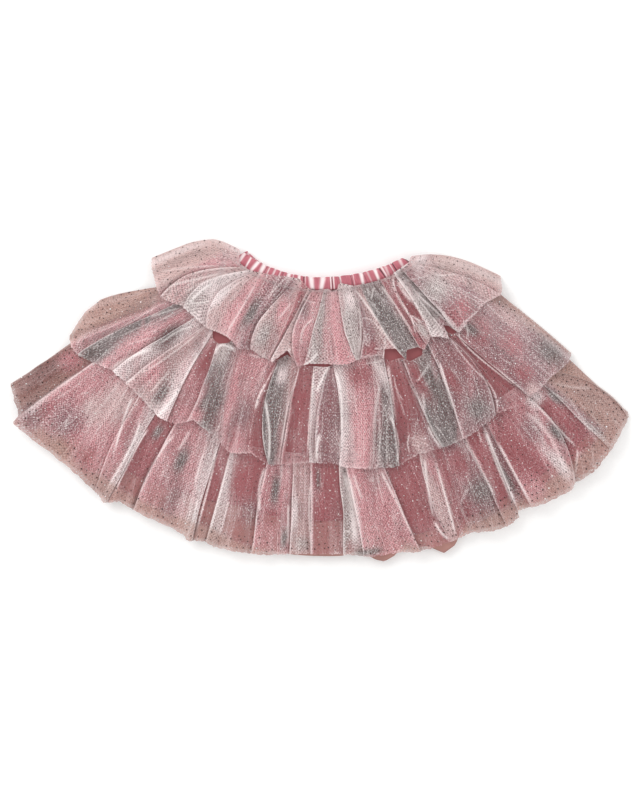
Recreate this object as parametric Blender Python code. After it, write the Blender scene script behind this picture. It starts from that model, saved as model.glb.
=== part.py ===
"""A small child's tulle party skirt, laid flat: a gathered waistband, a slip and three gathered tiers.

Sizes are in millimetres and angles in degrees. The garment opens like a fan, so a place on it is an
angle from straight down its middle, positive towards +X, and a reach from the fan's centre, which
lies above the waist. The finished skirt lies on Z = 0 with its middle at X = Y = 0, its front up and
its waist towards +Y.
"""

import math
from collections import namedtuple

import bmesh
import bpy
from mathutils import Matrix, Vector

MM = 0.001
WELD = 0.00001

# Driving dimensions
SEAM_GAP = 0.3
FAN_DEG = 55.0
TULLE_WALL = 1.1
SLIP_WALL = 1.0
BACK_RISE = 4.0
BAND_WIDTH = 14.0
BAND_THICKNESS = 6.2
GATHER_DEPTH = 0.45
GATHER_STAND = 0.35
GATHERS = 24
BACK_WAVES = 16

# Heights of the layers, from the surface that the skirt lies on
BACK_SEAM_LIFT = BACK_RISE + TULLE_WALL + SEAM_GAP
SLIP_BACK_Z = BACK_SEAM_LIFT + TULLE_WALL + SEAM_GAP
SLIP_FRONT_Z = SLIP_BACK_Z + SLIP_WALL + SEAM_GAP
FRONT_SEAM_Z = SLIP_FRONT_Z + SLIP_WALL + SEAM_GAP
BAND_BACK_Z = 0.6 + BAND_THICKNESS / 2 + GATHER_DEPTH
BAND_FRONT_Z = BAND_BACK_Z + BAND_THICKNESS + 2 * GATHER_DEPTH + SEAM_GAP

# A line round the garment: its reach in the middle, and how much longer it is at FAN_DEG on the left
# and on the right, where the waist hangs lower
Line = namedtuple("Line", "middle left_gain right_gain")
WAIST_LINE = Line(100.4, 12.8, 24.5)
TIER_SEAMS = {
    "tier_1": WAIST_LINE._replace(
        middle=WAIST_LINE.middle + BAND_WIDTH / 2 + GATHER_STAND + SEAM_GAP
    ),
    "tier_2": Line(181.5, 19.0, 19.0),
    "tier_3": Line(278.5, 21.0, 21.0),
}

# The waist's two ends, and how much the band's back shows past its front at the left end
WAIST_LEFT_DEG = -49.4
WAIST_RIGHT_DEG = 50.6
BACK_BAND_PEEK = 2.5

# One row for each fold line of a front tier, from left to right: where it leaves the gathered seam,
# where it meets the hem, the hem's reach there, how high the wave to its right stands at the hem,
# and how far across that wave its crest lies, from 0 to 1
Fold = namedtuple("Fold", "seam_deg hem_deg reach rise crest")
TIER_1_FOLDS = [
    Fold(-52.5, -67.7, 191.5, 5.0, 0.5),
    Fold(-48.0, -61.4, 198.0, 6.0, 0.6),
    Fold(-45.0, -54.7, 202.0, 5.0, 0.4),
    Fold(-41.5, -49.5, 190.0, 8.0, 0.7),
    Fold(-37.0, -38.9, 188.0, 7.0, 0.4),
    Fold(-31.0, -32.4, 184.5, 5.0, 0.6),
    Fold(-27.5, -26.6, 189.0, 4.5, 0.5),
    Fold(-20.0, -22.9, 184.5, 7.0, 0.6),
    Fold(-14.5, -15.2, 189.0, 4.5, 0.4),
    Fold(-10.0, -11.2, 175.0, 4.5, 0.6),
    Fold(-4.5, -7.0, 189.0, 4.0, 0.5),
    Fold(0.5, -3.3, 185.0, 5.0, 0.6),
    Fold(4.5, 2.3, 182.0, 6.0, 0.6),
    Fold(9.5, 9.4, 193.5, 4.0, 0.5),
    Fold(14.5, 12.9, 184.0, 7.5, 0.3),
    Fold(20.0, 22.6, 178.5, 4.5, 0.6),
    Fold(24.5, 26.4, 201.0, 5.5, 0.4),
    Fold(30.0, 31.0, 204.5, 5.5, 0.5),
    Fold(35.0, 36.4, 195.0, 6.0, 0.6),
    Fold(40.0, 43.0, 210.0, 8.0, 0.5),
    Fold(45.5, 55.2, 211.0, 5.0, 0.4),
    Fold(49.5, 59.3, 220.5, 5.0, 0.6),
    Fold(53.5, 64.3, 212.0, 0.0, 0.5),
]
TIER_2_FOLDS = [
    Fold(-58.0, -63.1, 259.0, 3.0, 0.5),
    Fold(-55.5, -61.0, 289.0, 3.0, 0.5),
    Fold(-53.0, -59.0, 306.0, 5.0, 0.5),
    Fold(-50.0, -55.7, 309.0, 5.0, 0.6),
    Fold(-47.0, -52.4, 299.5, 6.0, 0.4),
    Fold(-43.5, -48.8, 290.0, 6.0, 0.6),
    Fold(-39.5, -44.7, 288.0, 8.0, 0.4),
    Fold(-37.0, -38.5, 290.0, 9.0, 0.6),
    Fold(-34.8, -31.6, 292.0, 5.0, 0.5),
    Fold(-32.2, -28.4, 277.0, 8.0, 0.4),
    Fold(-28.5, -21.9, 285.0, 6.0, 0.6),
    Fold(-23.5, -18.9, 293.0, 7.0, 0.5),
    Fold(-17.0, -14.4, 287.5, 6.0, 0.4),
    Fold(-13.0, -10.5, 295.0, 4.5, 0.6),
    Fold(-9.8, -8.0, 291.0, 3.5, 0.5),
    Fold(-7.0, -6.0, 289.0, 6.0, 0.6),
    Fold(-3.4, -2.3, 288.0, 3.0, 0.5),
    Fold(-0.6, 0.0, 288.0, 5.0, 0.4),
    Fold(4.6, 3.6, 290.0, 4.5, 0.6),
    Fold(9.4, 6.5, 294.5, 8.0, 0.4),
    Fold(16.0, 11.8, 301.0, 6.0, 0.6),
    Fold(20.6, 15.5, 302.0, 4.5, 0.5),
    Fold(25.5, 18.6, 300.0, 9.0, 0.6),
    Fold(31.5, 25.5, 301.5, 5.5, 0.4),
    Fold(36.0, 29.5, 303.0, 9.0, 0.6),
    Fold(39.6, 38.0, 301.5, 5.0, 0.5),
    Fold(42.3, 41.3, 303.0, 5.0, 0.6),
    Fold(45.2, 45.0, 310.0, 8.0, 0.4),
    Fold(51.5, 50.7, 313.0, 6.0, 0.5),
    Fold(60.0, 56.8, 316.5, 0.0, 0.5),
]
TIER_3_FOLDS = [
    Fold(-58.3, -57.8, 386.0, 5.0, 0.5),
    Fold(-52.0, -52.6, 405.0, 9.0, 0.6),
    Fold(-46.5, -42.4, 396.5, 9.0, 0.4),
    Fold(-41.0, -35.6, 399.0, 4.0, 0.6),
    Fold(-38.0, -33.4, 397.0, 4.0, 0.5),
    Fold(-35.6, -31.2, 390.0, 5.0, 0.5),
    Fold(-31.6, -27.6, 390.0, 9.0, 0.4),
    Fold(-24.2, -20.8, 395.5, 5.5, 0.5),
    Fold(-21.4, -18.4, 390.0, 5.0, 0.5),
    Fold(-18.3, -15.6, 392.5, 8.0, 0.4),
    Fold(-11.9, -10.6, 391.0, 7.0, 0.6),
    Fold(-8.4, -7.0, 387.0, 5.0, 0.5),
    Fold(-5.6, -4.7, 385.0, 6.0, 0.5),
    Fold(-1.8, -1.4, 384.0, 8.0, 0.4),
    Fold(3.4, 3.0, 385.0, 5.0, 0.6),
    Fold(6.2, 6.4, 387.5, 10.0, 0.5),
    Fold(13.0, 14.8, 394.5, 7.0, 0.6),
    Fold(18.3, 18.4, 395.5, 4.5, 0.5),
    Fold(21.5, 20.8, 395.5, 5.0, 0.5),
    Fold(25.5, 23.4, 396.0, 9.0, 0.6),
    Fold(29.5, 28.8, 405.0, 6.0, 0.4),
    Fold(33.0, 31.5, 398.0, 5.5, 0.6),
    Fold(36.0, 34.0, 401.0, 10.0, 0.5),
    Fold(41.5, 40.7, 410.0, 9.0, 0.4),
    Fold(46.8, 48.1, 411.0, 7.0, 0.6),
    Fold(50.5, 51.6, 407.0, 4.0, 0.5),
    Fold(56.0, 54.1, 401.0, 0.0, 0.5),
]

# What differs between the tiers: how far the hem is lifted by the heading that it covers, how far in
# from each side the front comes down to the back, how much of that drop is kept back for the tier
# below, how sharply the two side edges swing out of the seam, and how far each one's start is drawn
# up past the end of the waistband
TierShape = namedtuple(
    "TierShape", "hem_lift fall_deg side_clear left_flare right_flare left_pull right_pull"
)
TIER_SHAPES = {
    "tier_1": TierShape(4.3, 4.0, 0.0, 6.7, 4.0, 10.0, 11.5),
    "tier_2": TierShape(4.3, 2.5, 3.5, 1.6, 1.0, 0.0, 0.0),
    "tier_3": TierShape(0.0, 4.0, 0.0, 1.5, 1.3, 0.0, 0.0),
}

# The slip's two hems, one row for each bend of the edge
Edge = namedtuple("Edge", "deg reach")
SLIP_WAIST_LEFT_DEG = -47.0
SLIP_WAIST_RIGHT_DEG = 47.0
SLIP_FRONT_HEM = [
    Edge(-52.0, 372.0),
    Edge(-30.0, 356.0),
    Edge(-10.0, 350.0),
    Edge(8.0, 348.0),
    Edge(28.0, 358.0),
    Edge(48.5, 374.0),
]
SLIP_BACK_HEM = [
    Edge(-52.0, 384.0),
    Edge(-36.0, 378.0),
    Edge(-18.0, 373.0),
    Edge(-4.0, 386.0),
    Edge(3.5, 387.0),
    Edge(6.0, 381.0),
    Edge(9.8, 398.0),
    Edge(13.5, 383.0),
    Edge(18.8, 405.0),
    Edge(23.0, 385.0),
    Edge(36.0, 389.0),
    Edge(48.5, 391.0),
]

# Where the rows of the tiers' grids lie, as shares of the way from seam to hem
FRONT_STATIONS = (0.0, 0.22, 0.45, 0.72, 1.0)
BACK_STATIONS = (0.0, 0.22, 0.45, 1.0)
SLIP_STATIONS = (0.0, 0.4, 0.75, 1.0)
SLIP_COLUMNS = 48
COLUMNS_PER_WAVE = 4

# A back wave's profile, column by column: how far across the wave, and its share of the full height
BACK_ACROSS = (0.0, 0.35, 0.6, 0.8)
BACK_HUMP = (0.0, 0.0, 1.0, 0.8)

# The back's waves are a little uneven: by this share of the width, going up and down at this rate
BACK_UNEVEN = 0.012
BACK_UNEVEN_RATE = 2.4
COLUMNS_PER_GATHER = 4
BAND_SIDES = 8

# How far in from each side the back's waves flatten out, how far in the pull of a side edge reaches,
# and how much shorter the back's hems are
BACK_FALL_DEG = 9.0
PULL_DEG = 2.2
BACK_HEM_INSET = 3.0

# The share of the way to the hem over which a front tier is lifted
HEM_LIFT_RUN = 0.72

# The share of a wave's full height that its gathers have at the seam, the greatest height that a wave
# may have for its width, and how steeply a side edge's swing fades towards the tier's middle
SEAM_SWELL = 0.25
STEEPEST = 0.38
FLARE_FADE = 6


def fan_point(deg, reach, height):
    """The place in space of a point of the fan."""
    turn = math.radians(deg)
    return Vector((math.sin(turn) * reach, -math.cos(turn) * reach, height)) * MM


def smooth(share):
    share = min(max(share, 0.0), 1.0)
    return share * share * (3 - 2 * share)


def blend(low, high, share):
    return low + (high - low) * share


def reach_on(line, deg):
    gain = line.left_gain if deg < 0 else line.right_gain
    return line.middle + gain * (deg / FAN_DEG) ** 2


def reach_between(rows, angles, deg):
    """The reach at an angle of an edge that is given by rows, with straight runs between them."""
    for index in range(len(rows) - 2):
        if deg <= angles[index + 1]:
            break
    else:
        index = len(rows) - 2
    share = (deg - angles[index]) / (angles[index + 1] - angles[index])
    return blend(rows[index].reach, rows[index + 1].reach, min(max(share, 0.0), 1.0))


def material(name, colour, roughness, sheen):
    made = bpy.data.materials.new(name)
    made.use_nodes = True
    shader = made.node_tree.nodes["Principled BSDF"]
    shader.inputs["Base Color"].default_value = (*colour, 1.0)
    shader.inputs["Roughness"].default_value = roughness
    shader.inputs["Metallic"].default_value = 0.0
    shader.inputs["Sheen Weight"].default_value = sheen
    made.diffuse_color = (*colour, 1.0)
    return made


def add_object(name, mesh_maker, finish):
    bm = bmesh.new()
    mesh_maker(bm)
    mesh = bpy.data.meshes.new(name)
    bm.to_mesh(mesh)
    bm.free()
    mesh.materials.append(finish)
    made = bpy.data.objects.new(name, mesh)
    bpy.context.scene.collection.objects.link(made)
    return made


def lay_grid(bm, columns, stations, place):
    """A grid facing up: place(column, share) says where each of its points lies."""
    rows = len(stations) - 1
    bmesh.ops.create_grid(bm, x_segments=columns, y_segments=rows, size=0.5)
    for vert in bm.verts:
        column = round((vert.co.x + 0.5) * columns)
        share = stations[round((0.5 - vert.co.y) * rows)]
        vert.co = place(column, share)


def give_wall(made, thickness):
    """The cloth's thickness, above the surface that its points describe."""
    wall = made.modifiers.new("cloth thickness", "SOLIDIFY")
    wall.thickness = thickness * MM
    wall.offset = 1.0
    wall.use_even_offset = False
    made.data.shade_smooth()


def seam_to_hem(tier, folds, wave, across, share):
    """The angle and reach of a point of a tier, and the width of its wave there."""
    shape = TIER_SHAPES[tier]
    here = folds[wave]
    after = folds[min(wave + 1, len(folds) - 1)]
    seam_deg = blend(here.seam_deg, after.seam_deg, across)
    hem_deg = blend(here.hem_deg, after.hem_deg, across)
    towards_side = 2 * (wave + across) / (len(folds) - 1) - 1
    full_flare = shape.left_flare if towards_side < 0 else shape.right_flare
    flare = 1 + (full_flare - 1) * towards_side**FLARE_FADE
    deg = blend(seam_deg, hem_deg, 1 - (1 - share) ** flare)
    seam_reach = reach_on(TIER_SEAMS[tier], seam_deg)
    seam_reach -= shape.left_pull * max(0.0, 1 - (seam_deg - folds[0].seam_deg) / PULL_DEG)
    seam_reach -= shape.right_pull * max(0.0, 1 - (folds[-1].seam_deg - seam_deg) / PULL_DEG)
    reach = blend(seam_reach, blend(here.reach, after.reach, across), share)
    spread = blend(after.seam_deg - here.seam_deg, after.hem_deg - here.hem_deg, share)
    return deg, hem_deg, reach, math.radians(spread) * reach


def from_sides(folds, hem_deg):
    """How far an angle of the hem is from the nearer of the tier's two side edges."""
    return min(hem_deg - folds[0].hem_deg, folds[-1].hem_deg - hem_deg)


def back_lift(tier, share):
    """The back of a lower tier starts just under the slip, clear of the hem before it, and then
    comes down to the surface."""
    if tier == "tier_1":
        return 0.0
    low, high = BACK_STATIONS[1], BACK_STATIONS[2]
    return BACK_SEAM_LIFT * (1 - smooth((share - low) / (high - low)))


def front_height(tier, folds, hem_deg, share):
    """The height of a front tier's troughs: on the slip, and down to the back tier at the sides."""
    shape = TIER_SHAPES[tier]
    inner = FRONT_SEAM_Z + shape.hem_lift * smooth(share / HEM_LIFT_RUN)
    side = back_lift(tier, share) + TULLE_WALL + SEAM_GAP + shape.side_clear * share
    if tier == "tier_1":
        side = blend(inner, side, smooth(share / BACK_STATIONS[2]))
    return blend(side, inner, smooth(from_sides(folds, hem_deg) / shape.fall_deg))


def front_tier(tier, folds):
    def place(column, share):
        wave, quarter = divmod(column, COLUMNS_PER_WAVE)
        crest = folds[wave].crest
        across = (0.0, crest / 2, crest, (1 + crest) / 2)[quarter]
        hump = (0.0, 0.5, 1.0, 0.5)[quarter]
        deg, hem_deg, reach, width = seam_to_hem(tier, folds, wave, across, share)
        rise = min(folds[wave].rise * blend(SEAM_SWELL, 1.0, share), STEEPEST * width)
        height = front_height(tier, folds, hem_deg, share) + hump * rise
        return fan_point(deg, reach, height)

    waves = len(folds) - 1
    return lambda bm: lay_grid(bm, waves * COLUMNS_PER_WAVE, FRONT_STATIONS, place)


def back_folds(front):
    """Even gathers for the back of a tier, inside the same two sides and the same hem."""
    hem_angles = [fold.hem_deg for fold in front]
    folds = []
    for wave in range(BACK_WAVES + 1):
        inside = 0 < wave < BACK_WAVES
        uneven = BACK_UNEVEN * math.sin(BACK_UNEVEN_RATE * wave) if inside else 0.0
        share = wave / BACK_WAVES + uneven
        hem_deg = blend(front[0].hem_deg, front[-1].hem_deg, share)
        seam_deg = blend(front[0].seam_deg, front[-1].seam_deg, share)
        reach = reach_between(front, hem_angles, hem_deg) - BACK_HEM_INSET
        folds.append(Fold(seam_deg, hem_deg, reach, BACK_RISE, 0.5))
    return folds


def back_tier(tier, folds):
    """Waves with flat troughs, which lie on the surface."""

    def place(column, share):
        wave, quarter = divmod(column, COLUMNS_PER_WAVE)
        deg, hem_deg, reach, _ = seam_to_hem(tier, folds, wave, BACK_ACROSS[quarter], share)
        lift = back_lift(tier, share)
        rise = BACK_RISE * (1 - lift / BACK_SEAM_LIFT) * blend(SEAM_SWELL, 1.0, share)
        rise *= smooth(from_sides(folds, hem_deg) / BACK_FALL_DEG)
        return fan_point(deg, reach, lift + BACK_HUMP[quarter] * rise)

    waves = len(folds) - 1
    return lambda bm: lay_grid(bm, waves * COLUMNS_PER_WAVE, BACK_STATIONS, place)


def slip_panel(hem, height):
    """One flat side of the slip, from the waistband's seam to its hem."""
    hem_angles = [edge.deg for edge in hem]

    def place(column, share):
        across = column / SLIP_COLUMNS
        waist_deg = blend(SLIP_WAIST_LEFT_DEG, SLIP_WAIST_RIGHT_DEG, across)
        hem_deg = blend(hem[0].deg, hem[-1].deg, across)
        start = reach_on(TIER_SEAMS["tier_1"], waist_deg)
        end = reach_between(hem, hem_angles, hem_deg)
        return fan_point(blend(waist_deg, hem_deg, share), blend(start, end, share), height)

    return lambda bm: lay_grid(bm, SLIP_COLUMNS, SLIP_STATIONS, place)


def waistband(height, peek):
    """One side of the band: a flat casing, drawn up on elastic into even gathers."""
    columns = GATHERS * COLUMNS_PER_GATHER
    ring = [index / BAND_SIDES for index in range(BAND_SIDES + 1)]

    def place(column, share):
        across = column / columns
        deg = blend(WAIST_LEFT_DEG, WAIST_RIGHT_DEG, across)
        gather = math.cos(2 * math.pi * GATHERS * across)
        round_angle = 2 * math.pi * (share + 0.5 / BAND_SIDES)
        corner = 1 / math.cos(math.pi / BAND_SIDES)
        half_width = (BAND_WIDTH / 2 + GATHER_STAND * gather) * corner
        half_thick = (BAND_THICKNESS / 2 + GATHER_DEPTH * gather) * corner
        middle = reach_on(WAIST_LINE, deg) - peek * (1 - across)
        reach = middle + half_width * math.cos(round_angle)
        return fan_point(deg, reach, height + half_thick * math.sin(round_angle))

    def make(bm):
        lay_grid(bm, columns, ring, place)
        bmesh.ops.remove_doubles(bm, verts=bm.verts, dist=WELD)
        bmesh.ops.holes_fill(bm, edges=bm.edges, sides=BAND_SIDES)
        bmesh.ops.recalc_face_normals(bm, faces=bm.faces)

    return make


def centre_on_origin(made):
    """Moves every piece so that the whole skirt's box stands on the origin."""
    bpy.context.view_layer.update()
    evaluated = bpy.context.evaluated_depsgraph_get()
    corners = [Vector(c) for piece in made for c in piece.evaluated_get(evaluated).bound_box]
    middle_x = (min(c.x for c in corners) + max(c.x for c in corners)) / 2
    middle_y = (min(c.y for c in corners) + max(c.y for c in corners)) / 2
    for piece in made:
        piece.data.transform(Matrix.Translation((-middle_x, -middle_y, 0.0)))


for old in list(bpy.data.objects):
    bpy.data.objects.remove(old)

TULLE = material("glitter tulle", (0.62, 0.40, 0.41), 0.7, 0.5)
SATIN = material("satin casing", (0.52, 0.20, 0.24), 0.35, 0.2)
SLIP = material("slip lining", (0.45, 0.17, 0.17), 0.55, 0.1)

pieces = []
FRONT_FOLDS = {"tier_1": TIER_1_FOLDS, "tier_2": TIER_2_FOLDS, "tier_3": TIER_3_FOLDS}
for tier_name, tier_folds in FRONT_FOLDS.items():
    front = add_object(tier_name + "_front", front_tier(tier_name, tier_folds), TULLE)
    give_wall(front, TULLE_WALL)
    back = add_object(tier_name + "_back", back_tier(tier_name, back_folds(tier_folds)), TULLE)
    give_wall(back, TULLE_WALL)
    pieces += [front, back]

slip_front = add_object("slip_front", slip_panel(SLIP_FRONT_HEM, SLIP_FRONT_Z), SLIP)
slip_back = add_object("slip_back", slip_panel(SLIP_BACK_HEM, SLIP_BACK_Z), SLIP)
for panel in (slip_front, slip_back):
    give_wall(panel, SLIP_WALL)

band_front = add_object("waistband_front", waistband(BAND_FRONT_Z, 0.0), SATIN)
band_back = add_object("waistband_back", waistband(BAND_BACK_Z, BACK_BAND_PEEK), SATIN)
pieces += [slip_front, slip_back, band_front, band_back]

centre_on_origin(pieces)
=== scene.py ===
"""A small child's tulle party skirt, laid flat with its front up.

The garment opens like a fan. A place on it is an angle in degrees from straight down its middle,
positive towards +X, a reach in millimetres from the fan's centre, which lies above the waist, and a
height in millimetres above the surface that the skirt lies on.
"""

import math
from collections import namedtuple
from itertools import starmap

import bmesh
import bpy
import numpy as np
from mathutils import Euler, Matrix, Vector


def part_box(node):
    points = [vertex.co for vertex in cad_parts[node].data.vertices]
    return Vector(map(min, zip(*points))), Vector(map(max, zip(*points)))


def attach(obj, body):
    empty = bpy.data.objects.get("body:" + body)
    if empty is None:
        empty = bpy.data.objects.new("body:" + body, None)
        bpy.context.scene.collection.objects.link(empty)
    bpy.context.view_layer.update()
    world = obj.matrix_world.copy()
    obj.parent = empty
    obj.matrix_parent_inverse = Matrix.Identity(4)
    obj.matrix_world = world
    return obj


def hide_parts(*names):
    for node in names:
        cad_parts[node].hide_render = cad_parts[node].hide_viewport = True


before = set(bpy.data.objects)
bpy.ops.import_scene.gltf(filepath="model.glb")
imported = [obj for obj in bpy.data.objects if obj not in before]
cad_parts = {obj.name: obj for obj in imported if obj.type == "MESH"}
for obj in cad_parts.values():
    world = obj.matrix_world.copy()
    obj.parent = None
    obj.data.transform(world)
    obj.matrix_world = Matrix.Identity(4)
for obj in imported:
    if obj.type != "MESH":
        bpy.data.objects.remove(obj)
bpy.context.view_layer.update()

# ---------------------------------------------------------------------------------------------------
# The slip: a plain A-line lining of coral acetate satin, cut as a front and a back panel, and sewn
# into the waistband. Its two panels lie flat on each other between the tiers. Satin this thin shows
# a soft lengthwise gloss, painted into its colour as streaks of painted sheen and shade, and shallow
# ripples where it has been pressed under the net.

MM = 0.001
SLIP_WALL = 0.9
SLIP_BACK_Z = 6.85
SLIP_FRONT_Z = 8.15
SLIP_RIPPLE = 0.12
SLIP_WAIST_DEG = 47.0
SLIP_COLUMNS = 220
SLIP_ROWS = 90
CORAL_SATIN = "#A3575A"
CORAL_SATIN_SHADE = "#914A4E"
INNER_SATIN = "#B6877D"
INNER_SATIN_SHADE = "#A8776F"

# The satin's patterns, across and along in millimetres: its soft streaks of painted sheen and shade,
# and its long floats, which are drawn about ten times as wide as real ones, so that they show
SATIN_SHEEN_STREAK_MM = (14.0, 160.0)
SATIN_FLOAT_MM = (0.9, 20.0)

# The waistband's middle line: its reach in the middle of the garment, and how much longer that is
# WAIST_GAIN_DEG to the left and to the right, where the waist hangs lower
WAIST_REACH = 100.4
WAIST_LEFT_GAIN = 12.8
WAIST_RIGHT_GAIN = 24.5
WAIST_GAIN_DEG = 55.0
BAND_LEFT_DEG, BAND_RIGHT_DEG = -49.4, 50.6
BAND_EDGE = 7.35
SEAM_GAP = 0.3


def waist_at(deg):
    """The reach of the waistband's middle line at an angle."""
    gain = np.where(deg < 0, WAIST_LEFT_GAIN, WAIST_RIGHT_GAIN)
    return WAIST_REACH + gain * (deg / WAIST_GAIN_DEG) ** 2


# The fan's centre, from the right end and the lower edge of the waistband
band_low, band_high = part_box("waistband_front")
band_end = float(waist_at(BAND_RIGHT_DEG)) + BAND_EDGE
FAN_X = band_high[0] - math.sin(math.radians(BAND_RIGHT_DEG)) * band_end * MM
FAN_Y = band_low[1] + (WAIST_REACH + BAND_EDGE) * MM

# An edge of cloth is a row of points from left to right, each an angle and the edge's reach there
SLIP_FRONT_HEM = [
    (-52, 372), (-30, 356), (-14, 344), (-3, 350), (5, 349), (9.5, 354), (12.5, 377), (28, 379),
    (48.5, 382),
]
SLIP_BACK_HEM = [
    (-52, 384), (-36, 378), (-18, 373), (-11, 382), (-4, 386), (3.5, 387), (6.2, 382), (8.5, 394.5),
    (9.8, 398), (11.5, 394), (13.5, 383), (17, 394), (18.8, 405), (20.8, 401), (23, 385), (36, 389),
    (48.5, 391),
]


def linear(hex_colour):
    """An sRGB hex colour as the linear values that a shader works with."""
    channels = [int(hex_colour[at : at + 2], 16) / 255 for at in (1, 3, 5)]
    return tuple(c / 12.92 if c <= 0.04045 else ((c + 0.055) / 1.055) ** 2.4 for c in channels)


def feed(node, **inputs):
    """Sets inputs of a node, each to a value, or to the socket or the node that it follows."""
    for name, value in inputs.items():
        socket = node.inputs[int(name[1:])] if name[1:].isdigit() else node.inputs[name.replace("_", " ")]
        if isinstance(value, bpy.types.Node):
            value = value.outputs[0]
        if isinstance(value, bpy.types.NodeSocket):
            node.id_data.links.new(value, socket)
        else:
            socket.default_value = (*value, 1.0) if socket.type == "RGBA" else value


def add_node(tree, kind, settings=(), **inputs):
    """One node, with its settings and its links."""
    node = tree.nodes.new("ShaderNode" + kind)
    for name, value in dict(settings).items():
        setattr(node, name, value)
    feed(node, **inputs)
    return node


def new_finish(name):
    """An empty material and its one shader."""
    made = bpy.data.materials.new(name)
    made.use_nodes = True
    return made.node_tree, made.node_tree.nodes["Principled BSDF"], made


def per_mm(across, along):
    """A pattern's scale on a UV map in metres, from its width and its length in millimetres."""
    return (1000 / across, 1000 / along, 1)


def edge_at(edge, deg):
    """An edge's reach at an angle."""
    angles, reaches = zip(*edge)
    return np.interp(deg, angles, reaches)


def smooth(share):
    """A soft step from 0 to 1."""
    share = np.clip(share, 0.0, 1.0)
    return share * share * (3 - 2 * share)


def blend(low, high, share):
    return low + (high - low) * share


def waver(across, along, seed):
    """A smooth and uneven ripple between about -1 and 1; each seed gives another one."""
    draw = np.random.default_rng(seed)
    total = 0.0
    for octave in range(6):
        rate = 0.6 * 1.45**octave
        turn, start = draw.uniform(0, 2 * math.pi, 2)
        wave = (across * math.cos(turn) + along * math.sin(turn)) * rate * 2 * math.pi
        total = total + np.sin(wave + start) / (1 + 0.45 * octave)
    return total / 2.2


def read_points(source, name, width):
    """A value of each item of a mesh, as rows of width numbers."""
    values = np.empty(len(source) * width, dtype=np.float32)
    source.foreach_get(name, values)
    return values.reshape(-1, width) if width > 1 else values


def cloth_lengths(grid):
    """How far each column lies across the cloth, and each row down it, in metres."""
    across = np.linalg.norm(np.diff(grid[len(grid) // 2], axis=0), axis=1)
    down = np.linalg.norm(np.diff(grid, axis=0), axis=2).mean(axis=1)
    return [np.concatenate([[0.0], np.cumsum(steps)]) for steps in (across, down)]


def show(name, data):
    """Puts a mesh, a light or a camera into the scene."""
    made = bpy.data.objects.new(name, data)
    bpy.context.scene.collection.objects.link(made)
    return made


def lay_cloth(name, columns, rows, place):
    """A sheet that faces up, with a UV map in metres of cloth. place gives each point's angle, reach
    and height. Returns the piece, and its points as rows of columns."""
    bm = bmesh.new()
    bm.loops.layers.uv.new("cloth")
    bmesh.ops.create_grid(bm, x_segments=columns, y_segments=rows, size=0.5, calc_uvs=True)
    mesh = bpy.data.meshes.new(name)
    bm.to_mesh(mesh)
    bm.free()
    start = read_points(mesh.vertices, "co", 3)
    column = np.rint((start[:, 0] + 0.5) * columns).astype(int)
    row = np.rint((0.5 - start[:, 1]) * rows).astype(int)
    deg, reach, height = place(column, row / rows)
    turn = np.radians(deg)
    points = np.empty_like(start)
    points[:, 0] = FAN_X + np.sin(turn) * reach * MM
    points[:, 1] = FAN_Y - np.cos(turn) * reach * MM
    points[:, 2] = height * MM
    mesh.vertices.foreach_set("co", points.ravel())
    grid = np.empty((rows + 1, columns + 1, 3))
    grid[row, column] = points
    across, along = cloth_lengths(grid)
    corner = read_points(mesh.loops, "vertex_index", 1).astype(int)
    uv = np.stack([across[column[corner]], along[row[corner]]], axis=1)
    mesh.uv_layers["cloth"].data.foreach_set("uv", uv.astype(np.float32).ravel())
    mesh.update()
    mesh.shade_smooth()
    return show(name, mesh), grid


def slip_place(hem, base):
    """Where each point of a slip panel lies: straight down from the waist to its hem."""

    def place(column, share):
        across = column / SLIP_COLUMNS
        waist_deg = blend(-SLIP_WAIST_DEG, SLIP_WAIST_DEG, across)
        hem_deg = blend(hem[0][0], hem[-1][0], across)
        waist_reach = waist_at(waist_deg) + BAND_EDGE + SEAM_GAP
        deg = blend(waist_deg, hem_deg, share)
        reach = blend(waist_reach, edge_at(hem, hem_deg), share)
        return deg, reach, base + SLIP_RIPPLE * (1 + waver(across * 16, share * 1.2, 4))

    return place


def satin_finish(name, colour, shade):
    """Acetate satin, woven with long floats: a soft sheen that runs down the cloth, painted as streaks
    between its colour and its shade colour, low in relief.
    """
    tree, shader, made = new_finish(name)
    cloth = add_node(tree, "UVMap", {"uv_map": "cloth"})
    along = add_node(tree, "Mapping", Vector=cloth, Scale=per_mm(*SATIN_SHEEN_STREAK_MM))
    painted_sheen_streak = add_node(tree, "TexNoise", Vector=along, Scale=1.0, Detail=3.0)
    floats = add_node(tree, "Mapping", Vector=cloth, Scale=per_mm(*SATIN_FLOAT_MM))
    thread = add_node(tree, "TexNoise", Vector=floats, Scale=1.0, Detail=1.0)
    # Painted sheen and painted shade: lengthwise streaks between the satin's colour and its shade colour
    tone = add_node(tree, "Mix", {"data_type": "RGBA"}, Factor=painted_sheen_streak, _6=linear(shade), _7=linear(colour))
    relief = add_node(tree, "Bump", Height=thread, Strength=0.25, Distance=0.0002)
    feed(shader, Base_Color=tone.outputs[2], Normal=relief, Roughness=0.5, IOR=1.48, Sheen_Weight=0.15)
    return made


# The satin's inner side, which the back panel turns up, is paler. The modifier gives the panel its
# thickness above the points that it is laid on
coral = satin_finish("acetate satin lining, coral", CORAL_SATIN, CORAL_SATIN_SHADE)
inner = satin_finish("acetate satin lining, inner side", INNER_SATIN, INNER_SATIN_SHADE)
for side, hem, base, lining, under in (
    ("back", SLIP_BACK_HEM, SLIP_BACK_Z, inner, "tier_3_back_tulle"),
    ("front", SLIP_FRONT_HEM, SLIP_FRONT_Z, coral, "slip_lining_back"),
):
    panel, _ = lay_cloth("slip_lining_" + side, SLIP_COLUMNS, SLIP_ROWS, slip_place(hem, base))
    panel.data.materials.append(lining)
    solid = panel.modifiers.new("cloth thickness", "SOLIDIFY")
    solid.thickness = SLIP_WALL * MM
    solid.offset = 1.0
    solid.use_even_offset = False
    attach(panel, "root")
    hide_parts("slip_" + side)

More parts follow.
